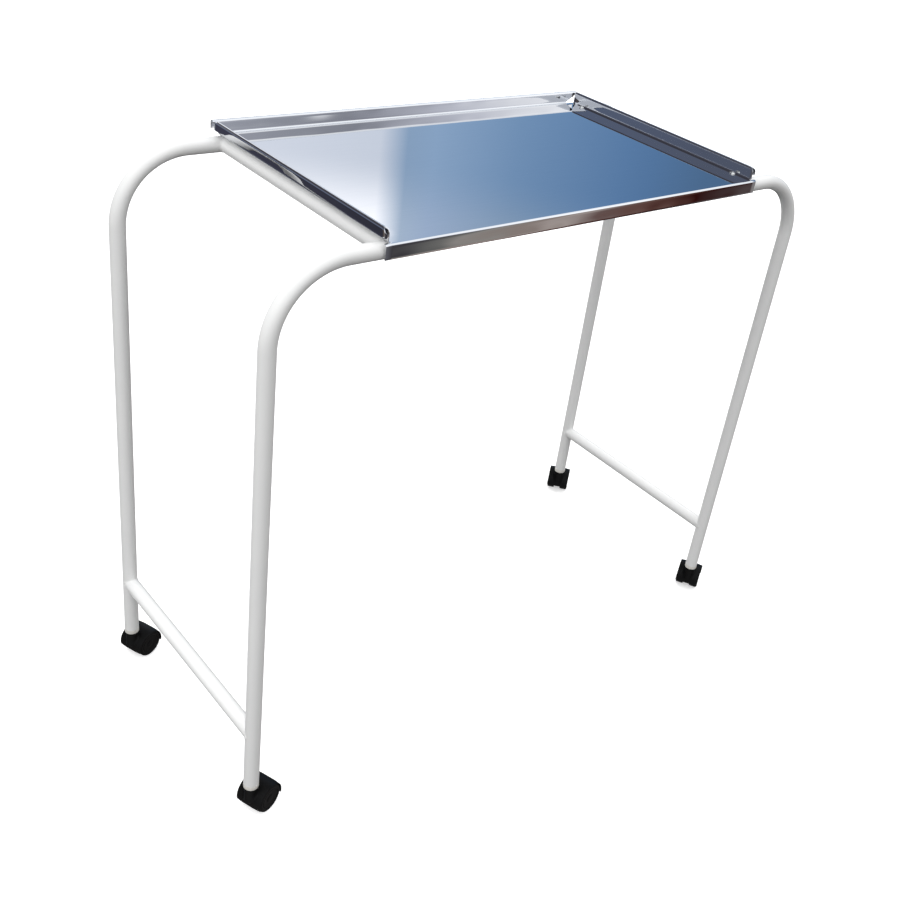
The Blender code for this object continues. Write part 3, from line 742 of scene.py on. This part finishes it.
def socket_profile(sizes, tube):
    """(radius, height) round a socket's wall: the collar under the tube with a soft edge, and the
    sleeve inside the tube."""
    collar, sleeve = tube.diameter / 2, tube.diameter / 2 - tube.wall - sizes.clearance
    bore = sizes.stem_radius + sizes.clearance
    chamber = bore + 0.0007
    low, high = SOCKET_LOW.z, SOCKET_HIGH.z
    shoulder = low + sizes.socket_collar
    chamber_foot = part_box("castor_grip_ring_front_left")[0].z - 2 * sizes.clearance
    return soften(
        [
            (bore, low), (collar, low), (collar, shoulder), (sleeve, shoulder), (sleeve, high),
            (chamber, high), (chamber, chamber_foot), (bore, chamber_foot),
        ],
        [0.0003, 0.0018, 0.0006, 0.0002, 0.0008, 0.0003, 0.0002, 0.0002],
    )


def ring_grid(corner, sizes):
    """The split ring that grips in the socket: a rounded section carried round most of a circle,
    with its ends closed to a point."""
    low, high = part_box("castor_grip_ring_" + corner)
    inner = sizes.stem_radius - 0.0008 + sizes.clearance
    section = soften(
        [(inner, low.z), (inner + 0.0013, low.z), (inner + 0.0013, high.z), (inner, high.z)],
        [0.0003, 0.0003, 0.0003, 0.0003],
    )
    middle_point = section.mean(axis=0)
    slit = math.radians(20)
    angle = np.linspace(slit, FULL_TURN - slit, 61)[:, None]
    angle = np.concatenate([angle[:1], angle, angle[-1:]])
    profile = np.broadcast_to(section, (len(angle), *section.shape)).copy()
    profile[[0, -1]] = middle_point
    grid = np.stack(
        [profile[..., 0] * np.cos(angle), profile[..., 0] * np.sin(angle), profile[..., 1]], axis=-1
    )
    return place_upright(grid, corner)


# -------------------------------------------------------------------------------------- materials


def linear(hex_colour, strength=1.0):
    """An sRGB hex colour as linear red, green, blue and alpha."""
    channels = [int(hex_colour[i : i + 2], 16) / 255 for i in (1, 3, 5)]
    straight = [c / 12.92 if c <= 0.04045 else ((c + 0.055) / 1.055) ** 2.4 for c in channels]
    return (*[strength * c for c in straight], 1.0)


def add_node(tree, kind, values=None, links=None, **settings):
    """Adds a node with its settings, its sockets' values, and links from other nodes' outputs."""
    node = tree.nodes.new(kind)
    for name, value in settings.items():
        setattr(node, name, value)
    for socket, value in (values or {}).items():
        node.inputs[socket].default_value = value
    for socket, source in (links or {}).items():
        tree.links.new(source, node.inputs[socket])
    return node


def set_stops(ramp, stops):
    """Gives a colour ramp node its stops, each (position, linear colour)."""
    elements = ramp.color_ramp.elements
    while len(elements) > 1:
        elements.remove(elements[-1])
    elements[0].position, elements[0].color = stops[0]
    for position, stop_colour in stops[1:]:
        elements.new(position).color = stop_colour


def new_material(name, **principled):
    """A material with a Principled shader whose constants are set on its own sockets."""
    material = bpy.data.materials.new(name)
    material.use_nodes = True
    shader = material.node_tree.nodes["Principled BSDF"]
    for socket, value in principled.items():
        shader.inputs[socket.replace("_", " ")].default_value = value
    place = add_node(material.node_tree, "ShaderNodeTexCoord").outputs["Object"]
    return material, material.node_tree, shader, place


def per_metre(millimetres):
    """The texture scale that makes one feature this long, in object coordinates of metres."""
    return 1000 / millimetres


def powder_coat():
    """Polyester powder coat on steel tube, baked: semi-gloss white with a fine orange peel, and a
    faint unevenness where the coat is thicker."""
    finishes = bpy.context.scene.overbed_finishes
    material, tree, shader, place = new_material("white_powder_coat", IOR=1.5)
    clouds = add_node(
        tree, "ShaderNodeTexNoise", {"Scale": per_metre(55), "Detail": 3}, {"Vector": place}
    )
    tint = add_node(
        tree, "ShaderNodeMix",
        {"A": linear(finishes.powder_coat), "B": linear("#EBECEC")},
        {"Factor": clouds.outputs["Fac"]}, data_type="RGBA",
    )
    tree.links.new(tint.outputs["Result"], shader.inputs["Base Color"])
    gloss = add_node(
        tree, "ShaderNodeMapRange", {"To Min": 0.27, "To Max": 0.37},
        {"Value": clouds.outputs["Fac"]},
    )
    tree.links.new(gloss.outputs["Result"], shader.inputs["Roughness"])
    peel = add_node(
        tree, "ShaderNodeTexNoise", {"Scale": per_metre(2.4), "Detail": 1}, {"Vector": place}
    )
    bump = add_node(
        tree, "ShaderNodeBump", {"Strength": 0.35, "Distance": 0.00005},
        {"Height": peel.outputs["Fac"]},
    )
    tree.links.new(bump.outputs["Normal"], shader.inputs["Normal"])
    return material


def bright_stainless():
    """Bright annealed stainless sheet: close to a mirror, with the rolling grain along its length as
    hair-fine streaks of slightly duller metal, and smudges from wiping. The grain is really under
    0.1 mm across and is drawn at 0.8 mm so that it shows."""
    finishes = bpy.context.scene.overbed_finishes
    material, tree, shader, place = new_material("bright_stainless", Metallic=1.0)
    grain_place = add_node(
        tree, "ShaderNodeMapping", {"Scale": (0.012, 1.0, 1.0)}, {"Vector": place}
    ).outputs["Vector"]
    grain = add_node(
        tree, "ShaderNodeTexNoise", {"Scale": per_metre(0.8), "Detail": 2}, {"Vector": grain_place}
    )
    smudges = add_node(
        tree, "ShaderNodeTexNoise", {"Scale": per_metre(90), "Detail": 4}, {"Vector": place}
    )
    both = add_node(
        tree, "ShaderNodeMath", None,
        {0: grain.outputs["Fac"], 1: smudges.outputs["Fac"]}, operation="MULTIPLY",
    )
    dull = add_node(
        tree, "ShaderNodeMapRange", {"To Min": 0.015, "To Max": 0.045},
        {"Value": both.outputs["Value"]},
    )
    tree.links.new(dull.outputs["Result"], shader.inputs["Roughness"])
    tint = add_node(
        tree, "ShaderNodeMix",
        {"A": linear(finishes.stainless), "B": linear("#D0D2D6")},
        {"Factor": grain.outputs["Fac"]}, data_type="RGBA",
    )
    tree.links.new(tint.outputs["Result"], shader.inputs["Base Color"])
    bump = add_node(
        tree, "ShaderNodeBump", {"Strength": 0.05, "Distance": 0.00002},
        {"Height": grain.outputs["Fac"]},
    )
    tree.links.new(bump.outputs["Normal"], shader.inputs["Normal"])
    return material


def zinc_plate():
    """Bright zinc plate on steel: a silvery, slightly clouded coat with a fine frosted grain."""
    finishes = bpy.context.scene.overbed_finishes
    material, tree, shader, place = new_material("bright_zinc_plate", Metallic=1.0)
    clouds = add_node(
        tree, "ShaderNodeTexNoise", {"Scale": per_metre(4), "Detail": 4}, {"Vector": place}
    )
    tint = add_node(
        tree, "ShaderNodeMix", {"A": linear(finishes.zinc), "B": linear("#D4D7D9")},
        {"Factor": clouds.outputs["Fac"]}, data_type="RGBA",
    )
    tree.links.new(tint.outputs["Result"], shader.inputs["Base Color"])
    frost = add_node(
        tree, "ShaderNodeMapRange", {"To Min": 0.28, "To Max": 0.46},
        {"Value": clouds.outputs["Fac"]},
    )
    tree.links.new(frost.outputs["Result"], shader.inputs["Roughness"])
    return material


def natural_nylon():
    """Natural nylon, injection moulded: a milky white with a soft sheen and a trace of depth."""
    finishes = bpy.context.scene.overbed_finishes
    material, tree, shader, place = new_material("natural_nylon", IOR=1.53, Subsurface_Weight=0.08)
    shader.inputs["Subsurface Radius"].default_value = (0.002, 0.0018, 0.0015)
    shader.inputs["Subsurface Scale"].default_value = 1.0
    clouds = add_node(
        tree, "ShaderNodeTexNoise", {"Scale": per_metre(9), "Detail": 3}, {"Vector": place}
    )
    tint = add_node(
        tree, "ShaderNodeMix", {"A": linear(finishes.socket), "B": linear("#DAD7D0")},
        {"Factor": clouds.outputs["Fac"]}, data_type="RGBA",
    )
    tree.links.new(tint.outputs["Result"], shader.inputs["Base Color"])
    sheen = add_node(
        tree, "ShaderNodeMapRange", {"To Min": 0.36, "To Max": 0.5}, {"Value": clouds.outputs["Fac"]}
    )
    tree.links.new(sheen.outputs["Result"], shader.inputs["Roughness"])
    return material


def black_nylon(name, worn):
    """Black nylon, injection moulded in a spark-eroded mould: satin, with a pebbled grain of about
    0.5 mm. A worn one is scuffed grey where its wear attribute is high."""
    finishes = bpy.context.scene.overbed_finishes
    material, tree, shader, place = new_material(name, IOR=1.53, Specular_IOR_Level=0.1)
    clouds = add_node(
        tree, "ShaderNodeTexNoise", {"Scale": per_metre(7), "Detail": 4}, {"Vector": place}
    )
    tint = add_node(
        tree, "ShaderNodeMix", {"A": linear(finishes.castor), "B": linear("#0F0F0F")},
        {"Factor": clouds.outputs["Fac"]}, data_type="RGBA",
    )
    base = tint.outputs["Result"]
    if worn:
        wear = add_node(tree, "ShaderNodeAttribute", attribute_name="wear")
        scuffs = add_node(
            tree, "ShaderNodeMath", None,
            {0: wear.outputs["Fac"], 1: clouds.outputs["Fac"]}, operation="MULTIPLY",
        )
        base = add_node(
            tree, "ShaderNodeMix", {"B": linear("#222221")},
            {"Factor": scuffs.outputs["Value"], "A": base}, data_type="RGBA",
        ).outputs["Result"]
    tree.links.new(base, shader.inputs["Base Color"])
    satin = add_node(
        tree, "ShaderNodeMapRange", {"To Min": 0.40, "To Max": 0.56},
        {"Value": clouds.outputs["Fac"]},
    )
    tree.links.new(satin.outputs["Result"], shader.inputs["Roughness"])
    pebbles = add_node(
        tree, "ShaderNodeTexVoronoi", {"Scale": per_metre(0.5)}, {"Vector": place}
    )
    bump = add_node(
        tree, "ShaderNodeBump", {"Strength": 0.25, "Distance": 0.00004},
        {"Height": pebbles.outputs["Distance"]},
    )
    tree.links.new(bump.outputs["Normal"], shader.inputs["Normal"])
    return material


def studio_floor():
    """Matt white studio paper, lit from behind so that it stays bright round the object."""
    finishes = bpy.context.scene.overbed_finishes
    material, tree, shader, place = new_material("studio_paper", Roughness=0.9)
    fibres = add_node(
        tree, "ShaderNodeTexNoise", {"Scale": per_metre(300), "Detail": 2}, {"Vector": place}
    )
    tint = add_node(
        tree, "ShaderNodeMix", {"A": linear(finishes.floor), "B": linear("#F2F2F2")},
        {"Factor": fibres.outputs["Fac"]}, data_type="RGBA",
    )
    tree.links.new(tint.outputs["Result"], shader.inputs["Base Color"])
    shader.inputs["Emission Color"].default_value = linear("#FFFFFF")
    shader.inputs["Emission Strength"].default_value = 0.45
    return material


# ------------------------------------------------------------------------------------------ world

# Surroundings that glossy surfaces mirror, as (azimuth in degrees turned from +X, colour). The first
# two lie near the horizon and above it, the third below it, and each is repeated all the way round.
LOW_SKY = [
    (-180, "#C0C3C9"), (-120, "#E8EAEE"), (-75, "#FFFFFF"),
    (-62, "#A8AAB2"), (-55, "#8A8C94"), (-50, "#C8C9D2"), (-44, "#FFFFFF"), (-40, "#FFFFFF"), (-20, "#8691A1"),
    (10, "#4A627E"), (36, "#445F7E"), (40, "#4E6E94"), (46, "#6582A3"), (51.2, "#8098B4"),
    (52.6, "#7A90A9"), (53.0, "#B8BFCB"), (60, "#C4C9D3"), (95, "#BCBFC7"), (112, "#656A77"),
    (135, "#5A647A"), (160, "#4E4D50"), (180, "#C0C3C9"),
]
HIGH_SKY = [
    (-180, "#E6E8EC"), (-120, "#F4F5F7"), (-75, "#FFFFFF"), (-40, "#FFFFFF"), (-20, "#A2ACBB"),
    (10, "#5E7797"), (36, "#4E6B89"), (40, "#5C7CA1"), (46, "#7D91A7"), (51.2, "#93A4BD"),
    (52.6, "#9DADBD"), (53.0, "#F6F7FB"), (60, "#F8F9FC"), (95, "#FAFAFC"), (112, "#4A4648"),
    (135, "#3E3A3C"), (160, "#5C5A5E"), (180, "#E6E8EC"),
]
TOP_SKY = [
    (-180, "#E9ECF0"), (20, "#E9ECF0"), (45, "#B0BCCC"), (60, "#4A4A52"), (100, "#3A3A42"),
    (165, "#44444C"), (178, "#E9ECF0"),
]
GROUND = [
    (-180, "#949597"), (-110, "#9E9E9F"), (-70, "#515156"), (-52, "#383639"), (-49.5, "#5A5A58"),
    (-47.5, "#87827D"), (-45.5, "#756963"), (-43, "#9E948F"), (-41, "#5F4E4B"), (-39, "#5A403A"), (-37.6, "#452A26"),
    (-36.5, "#280808"), (-25, "#726E6D"), (15, "#888888"), (30, "#262628"), (50, "#2C2C2E"),
    (62, "#A8A8A8"), (90, "#BFBFC1"), (108, "#4A5058"), (118, "#383845"), (130, "#282931"),
    (150, "#665B54"), (180, "#949597"),
]


def ring_of_colours(tree, turn, colours):
    """A colour by the azimuth as a share of a full turn from -180 degrees."""
    ramp = add_node(tree, "ShaderNodeValToRGB", None, {"Fac": turn})
    set_stops(ramp, [((azimuth + 180) / 360, linear(value)) for azimuth, value in colours])
    return ramp.outputs["Color"]


def add_world():
    """Soft light from all round for matt surfaces: brighter from above and from the rear left. Glossy
    surfaces see a room instead: white and blue walls, a dark corner, and a darker ground."""
    world = bpy.data.worlds.new("soft_studio")
    bpy.context.scene.world = world
    world.use_nodes = True
    world.cycles.sampling_method = "NONE"
    tree = world.node_tree
    tree.nodes.clear()
    way = add_node(tree, "ShaderNodeTexCoord").outputs["Generated"]
    parts = add_node(tree, "ShaderNodeSeparateXYZ", None, {"Vector": way})
    azimuth = add_node(
        tree, "ShaderNodeMath", None, {0: parts.outputs["Y"], 1: parts.outputs["X"]},
        operation="ARCTAN2",
    )
    turn = add_node(
        tree, "ShaderNodeMapRange", {"From Min": -math.pi, "From Max": math.pi},
        {"Value": azimuth.outputs["Value"]},
    ).outputs["Result"]
    elevation = add_node(
        tree, "ShaderNodeMath", None, {0: parts.outputs["Z"]}, operation="ARCSINE"
    ).outputs["Value"]

    def share(low, high):
        """0 below one elevation and 1 above another, in degrees."""
        return add_node(
            tree, "ShaderNodeMapRange",
            {"From Min": math.radians(low), "From Max": math.radians(high)},
            {"Value": elevation}, interpolation_type="SMOOTHSTEP",
        ).outputs["Result"]

    def blend_up(below, above, low, high):
        """One colour below an elevation and another above."""
        return add_node(
            tree, "ShaderNodeMix", None, {"Factor": share(low, high), "A": below, "B": above},
            data_type="RGBA",
        ).outputs["Result"]

    sky = blend_up(
        ring_of_colours(tree, turn, LOW_SKY), ring_of_colours(tree, turn, HIGH_SKY), 18, 22
    )
    sky = blend_up(sky, ring_of_colours(tree, turn, TOP_SKY), 26, 32)
    ceiling = add_node(tree, "ShaderNodeRGB").outputs["Color"]
    ceiling.default_value = linear("#E9ECF0")
    sky = blend_up(sky, ceiling, 60, 80)
    room = blend_up(ring_of_colours(tree, turn, GROUND), sky, -6, 4)

    lean = math.radians(139)
    side_light = add_node(
        tree, "ShaderNodeVectorMath", {1: (0.10 * math.cos(lean), 0.10 * math.sin(lean), 1.30)},
        {0: way}, operation="DOT_PRODUCT",
    )
    soft = add_node(
        tree, "ShaderNodeMath", {1: 0.45}, {0: side_light.outputs["Value"]}, operation="ADD"
    )
    soft = add_node(
        tree, "ShaderNodeMath", {1: 0.08}, {0: soft.outputs["Value"]}, operation="MAXIMUM"
    )
    mirrored = add_node(tree, "ShaderNodeBackground", {"Strength": 1.6}, {"Color": room})
    white = linear("#FFFFFF")
    spread = add_node(
        tree, "ShaderNodeBackground", {"Color": white}, {"Strength": soft.outputs["Value"]}
    )
    backdrop = add_node(tree, "ShaderNodeBackground", {"Color": white, "Strength": 1.1})
    ray = add_node(tree, "ShaderNodeLightPath")
    lit = add_node(
        tree, "ShaderNodeMixShader", None,
        {0: ray.outputs["Is Glossy Ray"], 1: spread.outputs[0], 2: mirrored.outputs[0]},
    )
    seen = add_node(
        tree, "ShaderNodeMixShader", None,
        {0: ray.outputs["Is Camera Ray"], 1: lit.outputs[0], 2: backdrop.outputs[0]},
    )
    add_node(tree, "ShaderNodeOutputWorld", None, {"Surface": seen.outputs[0]})


# -------------------------------------------------------------------------------------- operators


class OVERBED_OT_bridge_tubes(bpy.types.Operator):
    """Make the two bent tubes that bridge the bed."""

    bl_idname = "overbed.bridge_tubes"
    bl_label = "Bridge tubes"

    def execute(self, context):
        sizes = context.scene.overbed_tubes
        coat = powder_coat()
        for place, y in (("front", -LEG_Y), ("rear", LEG_Y)):
            node = place + "_bridge_tube"
            mesh = bridge_mesh(place + "_bridge", y, sizes)
            add_piece(place + "_bridge", mesh, coat, "frame", "powder_coat", node)
        return {"FINISHED"}


class OVERBED_OT_cross_tubes(bpy.types.Operator):
    """Make the crossbars under the tray and the stretchers near the floor, with their welds."""

    bl_idname = "overbed.cross_tubes"
    bl_label = "Cross tubes"

    def execute(self, context):
        sizes = context.scene.overbed_tubes
        coat = powder_coat()
        for side, sign in zip(SIDES, (-1, 1)):
            for kind, x, height, upright in (
                ("crossbar", sign * CROSSBAR_X, BRIDGE_HEIGHT, False),
                ("stretcher", sign * LEG_X, STRETCHER_HEIGHT, True),
            ):
                node = f"{side}_{kind}"
                name = node + "_tube"
                mesh = cross_tube_mesh(name, x, height, upright, sizes)
                add_piece(name, mesh, coat, "frame", "powder_coat", node)
                beads = [(bead_grid(x, height, upright, end, sizes), True, True) for end in (-1, 1)]
                welds = mesh_from_grids(node + "_welds", beads)
                add_piece(node + "_welds", welds, coat, "frame", "powder_coat")
        return {"FINISHED"}


class OVERBED_OT_tray(bpy.types.Operator):
    """Make the folded stainless tray."""

    bl_idname = "overbed.tray"
    bl_label = "Tray"

    def execute(self, context):
        sizes = context.scene.overbed_tray
        sheet = mesh_from_grids("folded_tray", tray_grids(sizes))
        face_up(sheet)
        mesh = finished_mesh(sheet, [
            ("SOLIDIFY", {"thickness": sizes.sheet, "offset": -1, "use_even_offset": True}),
            ("BEVEL", {
                "width": sizes.edge, "segments": 2, "limit_method": "ANGLE",
                "angle_limit": math.radians(60), "use_clamp_overlap": True,
            }),
        ])
        add_piece("folded_tray", mesh, bright_stainless(), "frame", "stainless", "tray")
        return {"FINISHED"}


class OVERBED_OT_tray_screws(bpy.types.Operator):
    """Make the four screws that hold the tray."""

    bl_idname = "overbed.tray_screws"
    bl_label = "Tray screws"

    def execute(self, context):
        sizes = context.scene.overbed_tray
        zinc = zinc_plate()
        for corner, (x, y) in screw_places().items():
            mesh = mesh_from_grids("screw_" + corner, [(screw_grid(x, y, sizes), False, True)])
            add_piece("screw_" + corner, mesh, zinc, "frame", "zinc_steel", "tray_screw_" + corner)
        return {"FINISHED"}


class OVERBED_OT_castor_fixings(bpy.types.Operator):
    """Make the sockets in the legs' feet, the stems and their grip rings."""

    bl_idname = "overbed.castor_fixings"
    bl_label = "Castor fixings"

    def execute(self, context):
        sizes = context.scene.overbed_castors
        nylon, zinc = natural_nylon(), zinc_plate()
        socket = turned(socket_profile(sizes, context.scene.overbed_tubes), sizes.sides)
        stem = turned(stem_profile(sizes), sizes.sides)
        for corner in CORNERS:
            for kind, grid, closed, finish, slot in (
                ("socket", place_upright(socket, corner), True, nylon, "socket_nylon"),
                ("stem", place_upright(stem, corner), False, zinc, "zinc_steel"),
                ("grip_ring", ring_grid(corner, sizes), False, zinc, "zinc_steel"),
            ):
                name = f"{kind}_{corner}"
                mesh = mesh_from_grids(name, [(grid, closed, True)])
                add_piece(name, mesh, finish, "frame", slot, "castor_" + name)
        return {"FINISHED"}


class OVERBED_OT_castor_hoods(bpy.types.Operator):
    """Make the castors' hoods, each with its web and boss."""

    bl_idname = "overbed.castor_hoods"
    bl_label = "Castor hoods"

    def execute(self, context):
        sizes = context.scene.overbed_castors
        nylon = black_nylon("black_nylon_hood", worn=False)
        for corner in CORNERS:
            name = "hood_" + corner
            grids = [(hood_grid(corner, sizes), True, True), (boss_grid(corner, sizes), True, True)]
            mesh = mesh_from_grids(name, grids)
            add_piece(name, mesh, nylon, "castor_" + corner, "castor_nylon", "castor_" + name)
        return {"FINISHED"}


class OVERBED_OT_castor_wheels(bpy.types.Operator):
    """Make the castors' wheels and axles."""

    bl_idname = "overbed.castor_wheels"
    bl_label = "Castor wheels"

    def execute(self, context):
        sizes = context.scene.overbed_castors
        nylon = black_nylon("black_nylon_wheel", worn=True)
        zinc = zinc_plate()
        half = sizes.wheel_gap + sizes.axle_grip - sizes.clearance
        pin = soften(
            [(0, -half), (sizes.axle_radius, -half), (sizes.axle_radius, half), (0, half)],
            [0, 0.0008, 0.0008, 0],
        )
        profile = wheel_profile(sizes)
        wear = wheel_wear(profile, sizes)
        wheel = turned(profile + np.array([0, sizes.wheel_gap]), sizes.sides)
        for corner in CORNERS:
            axle = lay_on_axle(turned(pin, sizes.sides // 2), corner)
            mesh = mesh_from_grids("axle_" + corner, [(axle, False, True)])
            add_piece(
                "axle_" + corner, mesh, zinc, "castor_" + corner, "zinc_steel",
                "castor_axle_" + corner,
            )
            for side, sign in zip(SIDES, (1, -1)):
                name = f"wheel_{corner}_{side}"
                grid = lay_on_axle(wheel, corner, sign)
                mesh = mesh_from_grids(name, [(grid, False, True)], wear)
                add_piece(name, mesh, nylon, name, "castor_nylon", "castor_" + name)
        return {"FINISHED"}


class OVERBED_OT_studio(bpy.types.Operator):
    """Make the floor, the light and the camera."""

    bl_idname = "overbed.studio"
    bl_label = "Studio"

    def execute(self, context):
        studio = context.scene.overbed_studio
        reach = studio.floor_reach
        xs = np.linspace(-reach, reach, 5)
        x, y = np.meshgrid(xs, xs)
        mesh = mesh_from_grids("floor", [(np.stack([x, y, 0 * x], axis=-1), False, False)])
        face_up(mesh)
        mesh.materials.append(studio_floor())
        floor = bpy.data.objects.new("floor", mesh)
        context.scene.collection.objects.link(floor)
        floor.visible_diffuse = False
        floor.visible_glossy = False
        floor.visible_shadow = False
        add_world()
        lamp = bpy.data.lights.new("window", "AREA")
        lamp.shape = "SQUARE"
        lamp.size = studio.window_size
        lamp.energy = studio.window_power
        window = bpy.data.objects.new("window", lamp)
        context.scene.collection.objects.link(window)
        stand = Vector(studio.window_place)
        aim = Vector((-LEG_X, 0, BRIDGE_HEIGHT / 2)) - stand
        window.matrix_world = Matrix.Translation(stand) @ aim.to_track_quat("-Z", "Y").to_matrix().to_4x4()
        window.visible_camera = False
        window.visible_glossy = False
        lens = bpy.data.cameras.new("camera")
        lens.lens = studio.lens
        lens.shift_x, lens.shift_y = studio.shift
        lens.clip_end = 4 * reach
        camera = bpy.data.objects.new("camera", lens)
        context.scene.collection.objects.link(camera)
        camera.matrix_world = (
            Matrix.Translation(studio.place)
            @ Matrix.Rotation(studio.heading - RIGHT_ANGLE, 4, "Z")
            @ Matrix.Rotation(RIGHT_ANGLE - studio.dip, 4, "X")
            @ Matrix.Rotation(studio.roll, 4, "Z")
        )
        context.scene.camera = camera
        context.scene.view_settings.view_transform = "Standard"
        return {"FINISHED"}


OPERATORS = (
    OVERBED_OT_bridge_tubes,
    OVERBED_OT_cross_tubes,
    OVERBED_OT_tray,
    OVERBED_OT_tray_screws,
    OVERBED_OT_castor_fixings,
    OVERBED_OT_castor_hoods,
    OVERBED_OT_castor_wheels,
    OVERBED_OT_studio,
)
GROUPS = {
    "overbed_tubes": TubeSizes,
    "overbed_tray": TraySizes,
    "overbed_castors": CastorSizes,
    "overbed_finishes": Finishes,
    "overbed_studio": Studio,
}


class OVERBED_PT_panel(bpy.types.Panel):
    """The sizes and operators of the overbed table."""

    bl_idname = "OVERBED_PT_panel"
    bl_label = "Overbed table"
    bl_space_type = "VIEW_3D"
    bl_region_type = "UI"
    bl_category = "Overbed table"

    def draw(self, context):
        for operator in OPERATORS:
            self.layout.operator(operator.bl_idname)
        for group_name in GROUPS:
            group = getattr(context.scene, group_name)
            box = self.layout.box()
            for property_name in group.__annotations__:
                box.prop(group, property_name)


def register():
    for group_name, group in GROUPS.items():
        bpy.utils.register_class(group)
        setattr(bpy.types.Scene, group_name, PointerProperty(type=group))
    for each in (*OPERATORS, OVERBED_PT_panel):
        bpy.utils.register_class(each)


def unregister():
    for each in (OVERBED_PT_panel, *reversed(OPERATORS)):
        bpy.utils.unregister_class(each)
    for group_name, group in GROUPS.items():
        delattr(bpy.types.Scene, group_name)
        bpy.utils.unregister_class(group)


def main():
    register()
    for operator in OPERATORS:
        group, name = operator.bl_idname.split(".")
        getattr(getattr(bpy.ops, group), name)()


if __name__ == "__main__":
    main()
